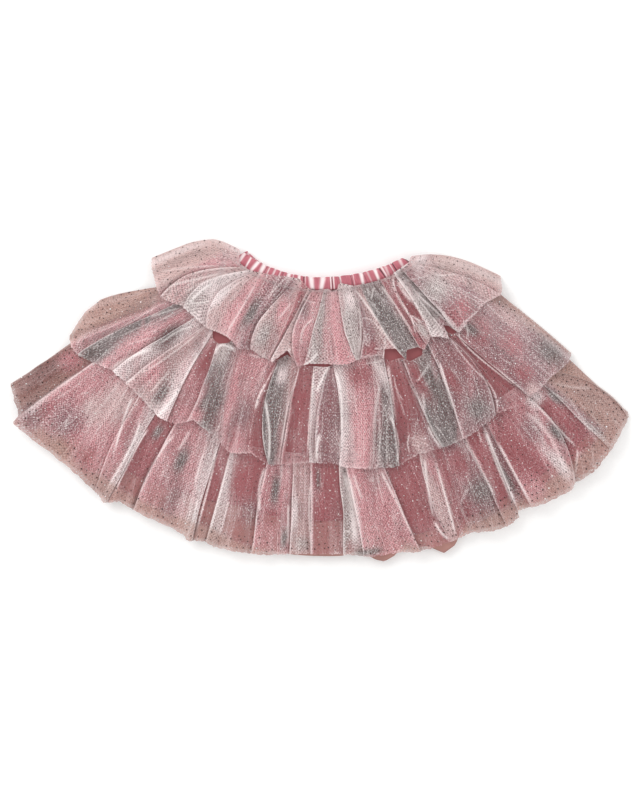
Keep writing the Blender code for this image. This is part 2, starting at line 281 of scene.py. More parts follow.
# ---------------------------------------------------------------------------------------------------
# The three tiers: strips of soft nylon tulle, space-dyed in pink, rose, grey and white, and dotted
# with glued glitter. Each strip is drawn up on two rows of running stitch, sewn round the slip, and
# falls in folds that lie over one another. The net is see-through alone and milky where it doubles.

TULLE_HALF_WALL = 0.55
TULLE_WALL = 1.1
BACK_RISE = 4.0
BACK_SEAM_LIFT = BACK_RISE + TULLE_WALL + SEAM_GAP
FRONT_SEAM_Z = 9.4
HEM_LIFT_RUN = 0.72
BACK_DOWN = (0.22, 0.45)
SEAM_SWELL = 0.25
STEEPEST = 0.38
FLARE_FADE = 6
BAND_LAP_RISE = 5.4
BACK_WAVES = 16
BACK_HEM_INSET = 3.0
BACK_FALL_DEG = 9.0

# Real threads lie about a third of this apart, which would be too fine to show. The other patterns
# of the cloth are given across and along it: the grain of its threads and their bright flecks, which
# are painted glints, the streaks and the blots of the dye bath, and the stray threads that wander down
# it. The period is that of a wave texture at a scale of 1
NET_PITCH_MM = 2.1
NET_LEAN_DEG = 35.0
WAVE_PERIOD = 0.31416
GRAIN_MM = (1.3, 1.625)
GLINT_FLECK_MM = (1.17, 1.82)
STREAK_MM = (2.8, 60.0)
BLOT_MM = (20.0, 50.0)
STRAY_MM = (13.0, 150.0)
GLITTER_PITCH_MM = 7.6
GLITTER_RADIUS_MM = 0.82
GLITTER_CLEAR_MM = 0.5
GLITTER_SLIP_MM = 2.0
GLITTER_TILT = 0.45
GLITTER_SIDE_MM, GLITTER_TOP_MM = 2.0, 2.5
STAGGERED = 0.87
DOT_SIDES = 6
DOT_SIZES = (0.7, 1.1)
LINED_DOT_SIZE = 0.75
LINED_REACH = 372.0
# Share of glitter dots painted dark past the slip, then the dots' painted dark reflection and glint
BARE_DARK_DOTS = 0.92
GLITTER_DARK_REFLECTION = "#3F2D2C"
GLITTER_GLINT = "#F4EFEE"
# Painted shade for the net's holes, white stray threads, painted glints on flecks, painted crease
# highlights
HOLE_SHADE = "#6A5051"
THREAD_WHITE = "#F6EAE8"
GLINT_FLECK_WHITE = "#FAF1EF"
CREASE_HIGHLIGHT = "#FBF1EF"

# Each dye bath of the cloth: its colour, and how much its bare fibres glint, which scales the net's
# painted glints, painted hole shade, pale streaks and stray threads. Taupe, peach and brown are what
# the net looks like over no lining: darker than its dyes, in part painted shade
Dye = namedtuple("Dye", "colour gleam")
DYES = {
    "pink": Dye("#D6989D", 0.6),
    "rose": Dye("#B56D73", 0.5),
    "mauve": Dye("#A0787D", 0.9),
    "grey": Dye("#726A69", 0.75),
    "char": Dye("#665D5B", 0.5),
    "ash": Dye("#B9ABA9", 1.0),
    "white": Dye("#F0DEDE", 0.75),
    "blush": Dye("#D2B0AF", 0.65),
    "taupe": Dye("#B38D83", 0.25),
    "peach": Dye("#CBADA8", 0.3),
    "brown": Dye("#744541", 0.25),
}

# One row for each fold line, from left to right: where it leaves the gathered seam, where it meets
# the hem, how far it bows sideways between them, how high the wave to its right stands, how much of
# that wave is folded over its neighbour (to the right if positive), the wave's dye, and how much of
# what lies under it its net covers
Fold = namedtuple("Fold", "seam_deg hem_deg bow rise lean dye cover")
TIER_1_FOLDS = list(starmap(Fold, [
    (-52.5, -67.7, 0, 5, 0, "blush", 0.62), (-48, -61.4, 0, 6, 0, "pink", 0.6),
    (-43.5, -55.5, -2, 5, -0.1, "blush", 0.62), (-41, -48.5, -3.5, 8, -0.15, "white", 0.68),
    (-37, -38.8, -6, 7, -0.2, "blush", 0.82), (-34, -32.6, -1.5, 5, 0, "pink", 0.78),
    (-31, -28.5, 0, 4.5, 0, "mauve", 0.66), (-13.5, -23, -5.5, 7, -0.2, "blush", 0.8),
    (-11.5, -16.9, 0, 4.5, 0, "rose", 0.56), (-6.5, -16, -1, 4.5, -0.2, "blush", 0.74),
    (-4, -7, -5, 4, -0.2, "pink", 0.52), (2.5, -5, -1, 5, -0.2, "ash", 0.66),
    (4.2, 1.6, -0.5, 6, 0, "pink", 0.72), (10.5, 12, -1.4, 4, -0.25, "ash", 0.88),
    (18.3, 13.2, 1.6, 7.5, -0.1, "mauve", 0.5), (19.8, 20.5, 0, 4.5, 0.2, "blush", 0.5),
    (22.5, 25.8, -0.6, 5.5, -0.2, "grey", 0.75), (33.2, 32, -0.5, 5.5, -0.15, "rose", 0.55),
    (38.3, 34.2, -1.2, 6, -0.15, "rose", 0.25), (40.6, 36.8, 0.6, 6, -0.2, "white", 0.7),
    (42.6, 41.2, 0, 6, 0, "grey", 0.75), (45, 43.3, 0.3, 8, -0.12, "mauve", 0.7),
    (47.5, 55.2, 0, 5, 0.1, "blush", 0.62), (49.5, 59.3, 0, 5, 0, "blush", 0.62),
    (53.5, 64.3, 0, 0, 0, "blush", 0.62),
]))
TIER_2_FOLDS = list(starmap(Fold, [
    (-58, -63.1, 0, 3, 0, "taupe", 0.6), (-55.5, -61, 0, 3, 0, "taupe", 0.6),
    (-53, -58.6, 0, 5, 0, "pink", 0.55), (-50.5, -55.4, -1, 5, -0.15, "grey", 0.75),
    (-48, -52.2, -1.5, 6, 0, "pink", 0.65), (-43.5, -48.4, -0.8, 6, -0.2, "white", 0.7),
    (-39.5, -44.7, -0.9, 8, -0.15, "blush", 0.68), (-37.5, -35.9, -0.8, 9, 0.2, "white", 0.72),
    (-36.5, -33.2, -0.3, 5, 0, "pink", 0.5), (-33.5, -29.5, 1, 8, -0.15, "grey", 0.7),
    (-27.5, -22, 0, 6, 0, "pink", 0.68), (-21.5, -18.9, 0, 7, 0, "pink", 0.62),
    (-13.6, -15, -1.8, 6, 0, "rose", 0.22), (-13.2, -10.4, -2.5, 4.5, -0.2, "grey", 0.78),
    (-9.8, -8.7, 0.5, 3.5, 0, "blush", 0.6), (-6.5, -8, -0.7, 6, -0.1, "rose", 0.32),
    (-2, -2.1, -0.3, 3, -0.2, "white", 0.65), (3, -0.4, -2, 5, -0.1, "mauve", 0.55),
    (4.3, 4, 1, 4.5, -0.2, "white", 0.72), (8.5, 6.6, 0.3, 8, 0, "pink", 0.72),
    (18, 11, 0.3, 6, 0.2, "grey", 0.68), (20.6, 15.9, -0.2, 4.5, 0, "rose", 0.14),
    (24, 17.8, 0.6, 9, 0, "mauve", 0.42), (25.8, 25.3, -0.8, 5.5, -0.2, "grey", 0.78),
    (35, 29.6, 0.3, 9, -0.1, "mauve", 0.55), (38.2, 34, 1.2, 9, 0.2, "mauve", 0.65),
    (39.7, 37.5, 2.9, 5, 0, "rose", 0.22), (41.6, 41.6, 0.6, 5, 0, "rose", 0.28),
    (42.8, 44.9, 0.2, 8, -0.15, "mauve", 0.68), (51.5, 50.7, 0, 6, 0, "mauve", 0.7),
    (60, 56.8, 0, 0, 0, "blush", 0.6),
]))
TIER_3_FOLDS = list(starmap(Fold, [
    (-58.3, -57.8, 0, 5, 0, "brown", 0.75), (-52.2, -52.7, -0.2, 9, -0.1, "pink", 0.7),
    (-46.5, -42.4, 0, 9, 0, "pink", 0.72), (-41.3, -36.6, -0.4, 5, -0.15, "pink", 0.6),
    (-38.5, -35.4, 0.6, 4, 0.25, "white", 0.6), (-36.2, -34.1, -0.1, 4, 0, "rose", 0.35),
    (-34.5, -32, 0, 5, 0, "rose", 0.42), (-31.6, -30, -0.4, 9, -0.2, "pink", 0.6),
    (-24.2, -22.4, 0, 5.5, 0.25, "white", 0.62), (-21.5, -19.9, -0.1, 4.5, 0, "rose", 0.35),
    (-18.8, -17.8, 0, 5, -0.15, "white", 0.6), (-18.2, -15.7, 0.9, 8, 0, "rose", 0.32),
    (-10.8, -10.6, 0, 7, -0.2, "pink", 0.6), (-8, -6.6, 0, 5, 0, "pink", 0.6),
    (-5.6, -4.7, 0, 6, -0.1, "blush", 0.62), (-1.9, -1.4, 0, 8, -0.1, "rose", 0.44),
    (4.1, 3.7, 0.3, 5, -0.15, "ash", 0.75), (4.9, 6.8, 0.3, 9, -0.2, "pink", 0.75),
    (10, 11.2, 0, 7, 0.2, "pink", 0.62), (12.4, 15.5, 0.1, 7, 0, "rose", 0.38),
    (18.2, 19.4, 0, 4.5, 0.1, "rose", 0.45), (21.4, 20.4, -1.4, 5, -0.2, "blush", 0.7),
    (23, 21.3, 0.6, 5, 0, "rose", 0.5), (25.5, 24.2, 0, 9, 0, "mauve", 0.55),
    (30, 28.9, 0.2, 6, -0.15, "rose", 0.45), (35.1, 31.5, -0.4, 5, -0.2, "mauve", 0.6),
    (35.7, 33.5, -0.2, 10, -0.1, "rose", 0.55), (40.5, 38, 1, 9, 0.2, "pink", 0.56),
    (44.4, 40.8, 2.2, 7, 0, "rose", 0.55), (48.6, 48.1, 0.2, 5, -0.1, "mauve", 0.62),
    (50, 53.4, 2.4, 3, -0.1, "taupe", 0.7), (56, 54.1, 0, 0, 0, "taupe", 0.7),
]))

# Each tier's hem, from left to right, with its scallops, notches and the tips of its folds
TIER_1_HEM = [
    (-67.7, 191.5), (-61.4, 198), (-58, 200.5), (-54.7, 202.5), (-49.5, 190), (-38.9, 188.5),
    (-31.9, 183.5), (-26.6, 189), (-22.9, 184.5), (-15.2, 189), (-11.2, 174), (-7, 189),
    (-3.3, 184.5), (2.3, 185), (9.4, 187.5), (12.6, 184.5), (19, 185.5), (20.6, 191), (21.8, 182.5),
    (25.2, 186.5), (26.5, 202), (28, 193), (31.6, 196), (32.8, 202), (36.4, 195), (38.6, 199.5),
    (40.5, 208), (41.2, 203), (41.9, 194), (42.9, 197), (43.6, 210), (48.9, 210), (55.2, 211),
    (59.3, 220.5), (64.3, 212),
]
TIER_2_HEM = [
    (-63.1, 259), (-62.7, 267), (-62.3, 276.5), (-61, 289), (-59.9, 298.5), (-59.1, 306),
    (-58, 308), (-55.7, 309), (-53.4, 302.5), (-48.8, 290), (-45.1, 288), (-39.7, 289),
    (-35.1, 294), (-31.6, 291), (-28.4, 277), (-22.6, 283.5), (-18.9, 293.5), (-14.4, 287.5),
    (-10.5, 295), (-2.5, 288), (2.7, 289), (5.1, 294.5), (15.5, 303.5), (18, 299.5), (20.7, 297.5),
    (25.5, 301.5), (29.2, 303), (33.1, 303.5), (38.3, 301), (43.5, 311), (44.9, 309), (47.9, 313),
    (50.7, 313), (54.8, 318.5), (56.8, 316.5),
]
TIER_3_HEM = [
    (-57.8, 386), (-56.8, 387), (-55.4, 390), (-54, 392.5), (-52.8, 397), (-52.5, 405),
    (-50.6, 402.5), (-47.8, 399), (-45.9, 396.5), (-43.9, 395.5), (-39.7, 393.5), (-37.8, 395.5),
    (-35.8, 397), (-34.6, 401), (-33.7, 397), (-32.7, 390.5), (-30.9, 390), (-27.4, 389.5),
    (-24, 389), (-21.2, 391.5), (-20.6, 395.5), (-19.3, 392), (-18, 390), (-16.4, 392.5),
    (-12.5, 391), (-8.1, 389), (-4.7, 385), (-1.3, 384), (1.5, 384), (4.7, 386), (7.5, 390),
    (13.2, 392), (14.5, 395), (20.8, 396), (23.5, 394.5), (26.5, 402), (28, 405), (29.6, 405.5),
    (31.2, 403.5), (31.6, 397), (33.4, 401), (34.9, 405), (36.5, 408), (39.7, 412.5), (40.7, 409),
    (43.6, 413.5), (48.1, 411), (51, 407), (53.4, 405), (54.1, 401),
]

# Each tier's gathered heading. The first laps over the waistband's lower edge, here more and there
# less, and at the back it follows that edge; the others are sewn on by hand and wander a little
TIER_1_HEADING = [
    (-52.5, 106.3), (-50.6, 107.9), (-48.9, 112), (-47.2, 115.2), (-40.1, 113.7), (-34.2, 107.8),
    (-28.5, 104), (-21.7, 99.9), (-15.9, 98.3), (-13.4, 97.6), (-10.5, 100), (-7.3, 104.2),
    (-5.7, 107.1), (-2.2, 107.7), (1.4, 107.1), (4.4, 106.1), (6.9, 109.1), (9.7, 108.1),
    (10.8, 103.2), (12.3, 102.6), (15.5, 105.2), (19, 108.8), (22, 109.8), (24.8, 111.4),
    (29.1, 113.2), (32.7, 115.2), (38.3, 118.2), (40.3, 118), (42.8, 118.7), (46.4, 120),
    (49.9, 121.5), (52.2, 119.9), (54.2, 120.4),
]
TIER_1_BACK_HEADING = [
    (-52.5, 110), (-50.3, 118.8), (-35, 113.2), (-20, 109.7), (0, 108.1), (20, 111.3), (35, 118),
    (51.3, 129.4), (53.5, 119.7),
]
TIER_2_HEADING = [
    (-60, 196), (-50, 184), (-40, 184), (-37, 187), (-35.5, 193.5), (-33, 195), (-31, 190),
    (-29.5, 183), (-22, 181), (-17, 187), (-14, 186), (-11, 178), (-6, 187), (-2, 187), (2.5, 188),
    (6, 184), (12, 182), (14, 182), (19, 184), (20.6, 188), (21.8, 195.5), (25.6, 197.5),
    (27.6, 205), (31.6, 205.5), (34, 191), (40.5, 191), (42, 206), (43.6, 209), (60, 206),
]
TIER_3_HEADING = [
    (-60, 296), (-55, 289), (-50, 281), (-45, 279), (-40, 280), (-35, 283), (-31, 280), (-28, 271),
    (-23, 276), (-18, 280.5), (-10, 279), (0, 278.5), (12, 279.5), (25, 282.8), (38, 288.5),
    (50, 295.9), (60, 303.5),
]

# Where one bath of dye has run into the net: the middle of the patch, its half width and half
# length in millimetres, its dye, and how much its net covers there
Patch = namedtuple("Patch", "deg reach across along dye cover")
TIER_1_PATCHES = list(starmap(Patch, [
    (-28.4, 150, 5, 20, "grey", 0.78), (-34.7, 150, 6, 30, "pink", 0.85),
    (-48, 178, 9, 14, "ash", 0.6), (-43, 155, 5, 22, "white", 0.9), (-19, 110, 8, 12, "mauve", 0.5),
    (-21.5, 166, 6, 14, "ash", 0.8), (-17, 135, 6, 14, "pink", 0.72),
    (-6, 157, 7, 20, "pink", 0.75), (-7.5, 128, 6, 10, "mauve", 0.55), (7, 150, 6, 25, "pink", 0.8),
    (15, 120, 6, 12, "white", 0.82), (18, 160, 8, 14, "mauve", 0.5),
    (17.5, 178, 8, 8, "rose", 0.42), (28, 160, 9, 28, "grey", 0.82),
    (33.4, 163, 2.8, 24, "rose", 0.3), (36.9, 157, 4.6, 22, "rose", 0.16),
    (35.8, 184, 5, 13, "ash", 0.8), (39.9, 172, 3.6, 25, "ash", 0.9),
    (42, 173, 3.8, 20, "char", 0.95), (42.4, 192, 5, 7, "mauve", 0.75),
    (49, 161, 14, 15, "ash", 0.8), (51, 136, 5, 4.5, "mauve", 0.75),
    (53.5, 131, 8, 7, "white", 0.82), (59.5, 155, 9, 14, "peach", 0.82),
    (54.9, 191, 3.8, 15, "mauve", 0.88), (48.2, 196, 13, 12, "rose", 0.62),
]))
TIER_2_PATCHES = list(starmap(Patch, [
    (-53, 285, 7, 18, "grey", 0.78), (-45.4, 222, 8, 20, "grey", 0.62),
    (-49.5, 250, 7, 20, "pink", 0.75), (-34.8, 284, 5, 10, "white", 0.92),
    (-37.6, 272, 6, 14, "grey", 0.8), (-42, 262, 8, 16, "pink", 0.7),
    (-33, 212, 5, 20, "rose", 0.25), (-30.6, 263, 8, 24, "pink", 0.68),
    (-30.5, 203, 7, 12, "ash", 0.85), (-26.6, 254, 9, 22, "grey", 0.8),
    (-28.6, 272, 8, 9, "pink", 0.68), (-21.9, 198, 9, 14, "pink", 0.68),
    (-19, 250, 9, 18, "mauve", 0.62), (-11.5, 200, 5, 10, "white", 0.78),
    (12.3, 200, 12, 12, "rose", 0.5), (9.4, 257, 8, 26, "pink", 0.85),
    (13.9, 280, 10, 18, "grey", 0.78), (18.4, 203, 5, 16, "white", 0.78),
    (21.5, 287, 10, 13, "blush", 0.68), (22.6, 224, 8, 34, "rose", 0.22),
    (26.8, 222, 8, 24, "rose", 0.32), (30, 236, 6, 26, "char", 0.84),
    (35.5, 284, 12, 14, "grey", 0.82), (34.6, 245, 6, 16, "rose", 0.5),
    (37.5, 232, 5, 22, "mauve", 0.55), (39.8, 292, 7, 12, "mauve", 0.5),
    (42.4, 256, 10, 36, "rose", 0.12), (54.6, 295, 12, 17, "grey", 0.85),
    (49, 222, 13, 18, "rose", 0.58), (50.4, 258, 11, 14, "rose", 0.66),
    (47, 217, 5, 12, "grey", 0.72), (47.8, 288, 9, 12, "rose", 0.62),
    (55.5, 240, 8, 20, "blush", 0.7), (46.5, 307, 7, 7, "blush", 0.85),
]))
TIER_3_PATCHES = list(starmap(Patch, [
    (-56, 348, 15, 52, "brown", 0.88), (-55.1, 318, 12, 12, "rose", 0.75),
    (-49.8, 322, 13, 24, "pink", 0.7), (-43.1, 309, 17, 26, "blush", 0.86),
    (-45.6, 335, 13, 16, "blush", 0.8), (-47.3, 362, 17, 20, "mauve", 0.8),
    (-51, 376, 7, 18, "rose", 0.65), (-51.6, 386, 13, 16, "mauve", 0.7),
    (-44.5, 386, 17, 11, "taupe", 0.85), (-41, 374, 15, 12, "rose", 0.6),
    (-39.1, 358, 8, 20, "pink", 0.7), (-33.7, 308, 5, 10, "grey", 0.7),
    (-32.8, 349, 9, 24, "rose", 0.5), (-27, 321, 7, 16, "grey", 0.8),
    (-25.2, 362, 9, 16, "mauve", 0.72), (-14.4, 318, 12, 19, "rose", 0.36),
    (-12.1, 349, 11, 14, "mauve", 0.64), (-8.3, 320, 5, 20, "grey", 0.85),
    (-8.4, 350, 7, 9, "rose", 0.5), (-5.9, 370, 4, 13, "grey", 0.88),
    (-4.5, 343, 3, 18, "white", 0.78), (-2.9, 374, 9, 8, "ash", 0.72),
    (2.3, 307, 8, 18, "rose", 0.36), (-0.3, 306, 2.5, 13, "grey", 0.6),
    (6.1, 356, 5, 24, "white", 0.94), (7.8, 385, 14, 4, "grey", 0.8),
    (11, 352, 9, 26, "pink", 0.66), (15.3, 323, 7, 22, "rose", 0.34),
    (20.4, 360, 4.4, 24, "blush", 0.88), (22.2, 316, 6, 16, "pink", 0.72),
    (26.5, 322, 9, 14, "rose", 0.45), (27.8, 360, 12, 16, "grey", 0.76),
    (32.8, 364, 3, 22, "grey", 0.75), (36.5, 341, 9, 20, "rose", 0.4),
    (41, 338, 9, 14, "mauve", 0.6), (35.4, 386, 13, 13, "pink", 0.72),
    (40.9, 380, 6, 22, "white", 0.78), (44, 356, 6, 14, "grey", 0.8), (46, 327, 6, 9, "rose", 0.34),
    (48.3, 331, 4.5, 14, "grey", 0.85), (45.6, 316, 9, 9, "white", 0.8),
    (47.4, 356, 9, 16, "rose", 0.5), (48.7, 382, 3, 15, "ash", 0.5),
]))

# The bright creases that show most, raised a little and painted white as painted highlights. Each is
# a soft curve through three points of the plan, in millimetres from the fan's centre, rightwards and
# downwards; then its half width and its brightness
Crease = namedtuple("Crease", "start middle end width bright")
TIER_1_CREASES = list(starmap(Crease, [
    ((-172, 89), (-137, 84), (-103, 82), 1.2, 0.5), ((-169, 106), (-129, 96), (-103, 90), 1.2, 0.6),
    ((-145, 113), (-115, 96), (-84, 89), 1.2, 0.6),
    ((-139, 123), (-123, 108), (-112, 100), 1.4, 0.9),
    ((-136, 122), (-124, 121), (-114, 118), 1, 0.7), ((-96, 90), (-81, 88), (-68, 88), 1, 0.6),
    ((-109, 118), (-93, 106), (-78, 95), 1, 0.35), ((-97, 150), (-85, 132), (-65, 97), 1, 0.6),
    ((-46, 139), (-37, 130), (-30, 119), 1, 0.5), ((-50, 183), (-39, 176), (-28, 167), 1, 0.9),
    ((-19, 187), (-9, 181), (-2, 172), 1.2, 0.95), ((-18, 166), (-18, 150), (-5, 136), 1, 0.6),
    ((-18, 116), (-11, 119), (-3, 121), 0.9, 0.5), ((41, 123), (43, 150), (41, 176), 1, 0.8),
    ((42, 139), (54, 139), (69, 158), 0.9, 0.5), ((68, 156), (68, 168), (66, 179), 0.9, 0.6),
    ((57, 168), (62, 169), (66, 168), 0.9, 0.5), ((35, 104), (49, 123), (63, 143), 1.2, 0.8),
    ((63, 143), (72, 159), (89, 181), 1.2, 0.8), ((49, 104), (51, 109), (52, 114), 0.9, 0.6),
    ((57, 104), (55, 111), (54, 117), 0.9, 0.6), ((54, 119), (59, 127), (63, 134), 0.9, 0.5),
    ((62, 100), (80, 125), (99, 156), 1.1, 0.7), ((93, 80), (83, 86), (77.5, 95), 1.6, 0.85),
    ((77, 94), (77.5, 102), (80, 109), 1.3, 0.85), ((82, 95), (88.5, 109), (98, 120), 2.4, 0.75),
    ((98, 119), (104, 129), (109.5, 142), 1, 0.8), ((109.5, 141), (113, 149), (117, 156), 1, 0.7),
    ((79, 108), (87, 123), (94, 134), 1.3, 0.85), ((94, 133), (97.5, 141), (100.5, 154), 1, 0.8),
    ((95, 134), (101, 137.5), (108, 142), 0.8, 0.7), ((101, 113), (108, 123), (118, 136), 1, 0.75),
    ((118, 135), (123.5, 142.5), (130, 150), 0.9, 0.7),
    ((98, 109), (119, 127), (142, 149), 1.1, 0.8), ((119, 121), (131, 133.5), (143, 146), 0.8, 0.5),
    ((88, 97), (103, 95), (118, 90), 0.8, 0.4), ((119, 91), (132, 92), (145, 90), 0.9, 0.5),
    ((100, 109.5), (114, 114.5), (128, 120.5), 0.9, 0.55),
    ((145, 147), (155, 138), (166, 129), 0.9, 0.6),
]))
TIER_2_CREASES = list(starmap(Crease, [
    ((-254, 174), (-217, 152), (-164, 121), 1, 0.5),
    ((-179, 136), (-164, 131), (-148, 126), 1, 0.5),
    ((-204, 166), (-189, 161), (-173, 157), 0.9, 0.35),
    ((-217, 193), (-204, 181), (-173, 168), 2, 1),
    ((-214, 207), (-210, 204), (-206, 199), 1.4, 0.9),
    ((-204, 205), (-198, 202), (-193, 198), 1.2, 0.8),
    ((-169, 166), (-149, 151), (-129, 145), 0.9, 0.6),
    ((-188, 194), (-164, 181), (-123, 149), 1, 0.5),
    ((-177, 215), (-167, 203), (-156, 192), 0.9, 0.5),
    ((-173, 241), (-158, 227), (-146, 208), 1.6, 0.95),
    ((-146, 208), (-137, 192), (-126, 173), 1, 0.7),
    ((-110, 177), (-103, 165), (-87, 172), 1.6, 0.85), ((-75, 174), (-66, 177), (-58, 177), 1, 0.6),
    ((-56, 204), (-63, 217), (-68, 234), 1.2, 0.9), ((-57, 206), (-51, 195), (-43, 187), 0.9, 0.5),
    ((-59, 218), (-53, 252), (-54, 290), 1.3, 0.85), ((-21, 189), (-34, 234), (-40, 275), 1.1, 0.7),
    ((-6, 192), (-9, 223), (-13, 288), 1.2, 0.9), ((11, 183), (3, 200), (-4, 214), 1.3, 0.95),
    ((0, 257), (-3, 272), (-3, 287), 1.6, 0.95), ((15, 191), (23, 225), (20, 290), 1.3, 0.9),
    ((46, 184), (57, 183), (68, 180), 0.9, 0.55), ((63, 207), (60, 223), (55, 260), 1.6, 0.5),
    ((56, 237), (56, 265), (56, 292), 0.7, 0.4), ((63, 237), (63, 265), (63, 292), 0.7, 0.4),
    ((70, 244), (70, 267), (70, 292), 0.7, 0.4), ((71, 183), (75, 214), (79, 250), 2, 0.7),
    ((72, 236), (81, 262), (81, 290), 1.3, 0.95), ((78, 196), (81, 214), (91, 244), 1, 0.45),
    ((78, 202), (82, 214), (88, 224), 0.9, 0.5), ((91, 199), (109, 234), (112, 247), 1, 0.6),
    ((95, 257), (92, 268), (95, 281), 0.9, 0.6), ((108, 214), (109, 224), (109, 234), 0.9, 0.6),
    ((112, 247), (120, 263), (128, 272), 1.6, 0.9), ((115, 185), (108, 195), (101, 204), 1.2, 0.6),
    ((124, 178), (134, 212), (141, 234), 1.2, 0.85), ((136, 157), (155, 183), (174, 203), 0.9, 0.5),
    ((145, 151), (162, 174), (216, 216), 0.9, 0.8), ((153, 142), (155, 150), (155, 157), 1, 0.7),
    ((160, 190), (182, 214), (184, 240), 0.9, 0.6),
]))
TIER_3_CREASES = list(starmap(Crease, [
    ((-250, 193), (-277, 210), (-314, 239), 1.2, 0.6),
    ((-196, 219), (-205, 241), (-216, 280), 1.2, 0.9),
    ((-188, 244), (-200, 275), (-227, 321), 1.2, 0.85),
    ((-179, 251), (-197, 281), (-216, 322), 1.2, 0.85),
    ((-150, 256), (-174, 288), (-190, 325), 1.2, 0.8),
    ((-136, 253), (-142, 265), (-149, 275), 1.4, 0.6),
    ((-121, 276), (-127, 294), (-132, 314), 1, 0.6),
    ((-107, 268), (-117, 313), (-132, 367), 1.3, 0.85),
    ((-128, 325), (-132, 345), (-140, 368), 1.2, 0.7),
    ((-95, 280), (-103, 314), (-119, 372), 1.2, 0.7),
    ((-95, 327), (-100, 345), (-106, 368), 0.9, 0.45),
    ((-56, 291), (-63, 315), (-63, 342), 1.8, 0.8), ((-55, 291), (-61, 307), (-65, 322), 0.9, 0.5),
    ((-33, 330), (-33, 353), (-33, 376), 1.2, 0.8), ((-9, 310), (-11, 335), (-9, 379), 1, 0.8),
    ((23, 347), (23, 363), (23, 379), 1, 0.5), ((27, 300), (34, 328), (38, 376), 3, 1),
    ((35, 299), (40, 315), (45, 327), 1.2, 0.6), ((60, 299), (63, 316), (68, 335), 0.9, 0.4),
    ((63, 296), (79, 326), (103, 375), 1.2, 0.7), ((110, 280), (113, 313), (120, 349), 1.3, 0.7),
    ((120, 349), (127, 361), (136, 369), 1.6, 0.9), ((120, 284), (133, 328), (143, 367), 1.3, 0.8),
    ((148, 331), (151, 323), (156, 314), 1.4, 0.4), ((151, 263), (167, 292), (185, 327), 1.2, 0.75),
    ((166, 254), (168, 261), (169, 267), 1, 0.6), ((172, 250), (187, 291), (208, 340), 2, 1),
    ((185, 264), (204, 300), (222, 333), 1.1, 0.9), ((214, 235), (239, 258), (260, 304), 2.4, 0.45),
    ((224, 224), (248, 250), (270, 273), 1, 0.75), ((270, 273), (269, 292), (265, 311), 1.2, 0.8),
    ((244, 204), (265, 209), (286, 210), 1.1, 0.6), ((260, 218), (274, 241), (293, 269), 1.4, 0.35),
    ((284, 236), (291, 246), (298, 255), 1, 0.4), ((284, 273), (286, 282), (286, 291), 1, 0.5),
]))

# What sets each tier apart, in millimetres and degrees: how far its hem rises over the tiers below,
# how soon it falls from the slip to the back tier at its sides, how far it clears that there, how far
# its back hangs down from its seam, and how its sides flare; then the darker colour of the net past
# the slip, in part painted shade, and where that begins, how much denser its net is, what share of
# its dots over the slip is painted dark, a painted reflection, the cut of its front and of its back in
# metres, and what its front rests on
Tier = namedtuple(
    "Tier",
    "folds hem heading back_heading patches creases hem_lift fall_deg side_clear seam_lift left_flare "
    "right_flare margin lined denser dark_dots front_cut back_cut rests_on",
)
TIERS = {
    "tier_3": Tier(
        TIER_3_FOLDS, TIER_3_HEM, TIER_3_HEADING, TIER_3_HEADING, TIER_3_PATCHES, TIER_3_CREASES,
        hem_lift=0.0, fall_deg=4.0, side_clear=0.0, seam_lift=BACK_SEAM_LIFT, left_flare=1.5,
        right_flare=1.3, margin="taupe", lined=(-53.0, 49.5), denser=-0.07, dark_dots=0.6,
        front_cut=(1.05, 0.112), back_cut=(0.95, 0.11),
        rests_on=["slip_lining_front", "tier_3_back_tulle"],
    ),
    "tier_2": Tier(
        TIER_2_FOLDS, TIER_2_HEM, TIER_2_HEADING, TIER_2_HEADING, TIER_2_PATCHES, TIER_2_CREASES,
        hem_lift=4.3, fall_deg=2.5, side_clear=3.5, seam_lift=BACK_SEAM_LIFT, left_flare=1.6,
        right_flare=1.0, margin="taupe", lined=(-58.0, 56.3), denser=-0.07, dark_dots=0.6,
        front_cut=(0.85, 0.10), back_cut=(0.72, 0.10),
        rests_on=["tier_3_front_tulle", "slip_lining_front"],
    ),
    "tier_1": Tier(
        TIER_1_FOLDS, TIER_1_HEM, TIER_1_HEADING, TIER_1_BACK_HEADING, TIER_1_PATCHES, TIER_1_CREASES,
        hem_lift=4.3, fall_deg=4.0, side_clear=0.0, seam_lift=0.0, left_flare=6.7,
        right_flare=4.0, margin="peach", lined=(-57.0, 60.0), denser=0.09, dark_dots=0.82,
        front_cut=(0.58, 0.085), back_cut=(0.50, 0.084),
        rests_on=["tier_2_front_tulle", "slip_lining_front"],
    ),
}

# Points of each sheet, down the cloth and across each wave of it
ROWS = 84
BACK_ROWS = 26
COLUMNS_PER_WAVE = 36
BACK_COLUMNS_PER_WAVE = 14

# How the cloth folds: along a wave in shares of its width, down the cloth in shares of its drop
FOLD_CREST = 0.24
FOLD_LAG = 0.07
FOLD_FULL_AT = 0.3
FOLD_EASE = 0.35
GATHER_PITCH_MM = 4.4
GATHER_HEIGHT = 0.8
GATHER_RUN_MM = 16.0
CREASE_HEIGHT = 0.5
BRIGHT_CREASE_RISE = 0.5
CREASE_LEGS = 12
CREASE_TAPER = 0.15
JAG_MM = 0.7

# How the dye and the net's density change over it
NEIGHBOUR_RUN = 0.36
MARGIN_SOFT_MM = 5.0
LEAST_COVER, MOST_COVER = 0.2, 0.94
TIGHT_RUN_MM = 7.0
TURN_WIDTH = 0.045
PRESSED_WIDTH = 0.04
CUT_WIDTH_MM = 1.3


def bump(across, crest):
    """A wave's profile: 0 at both ends, 1 at the crest, level at all three."""
    return np.where(across < crest, smooth(across / crest), smooth((1 - across) / (1 - crest)))


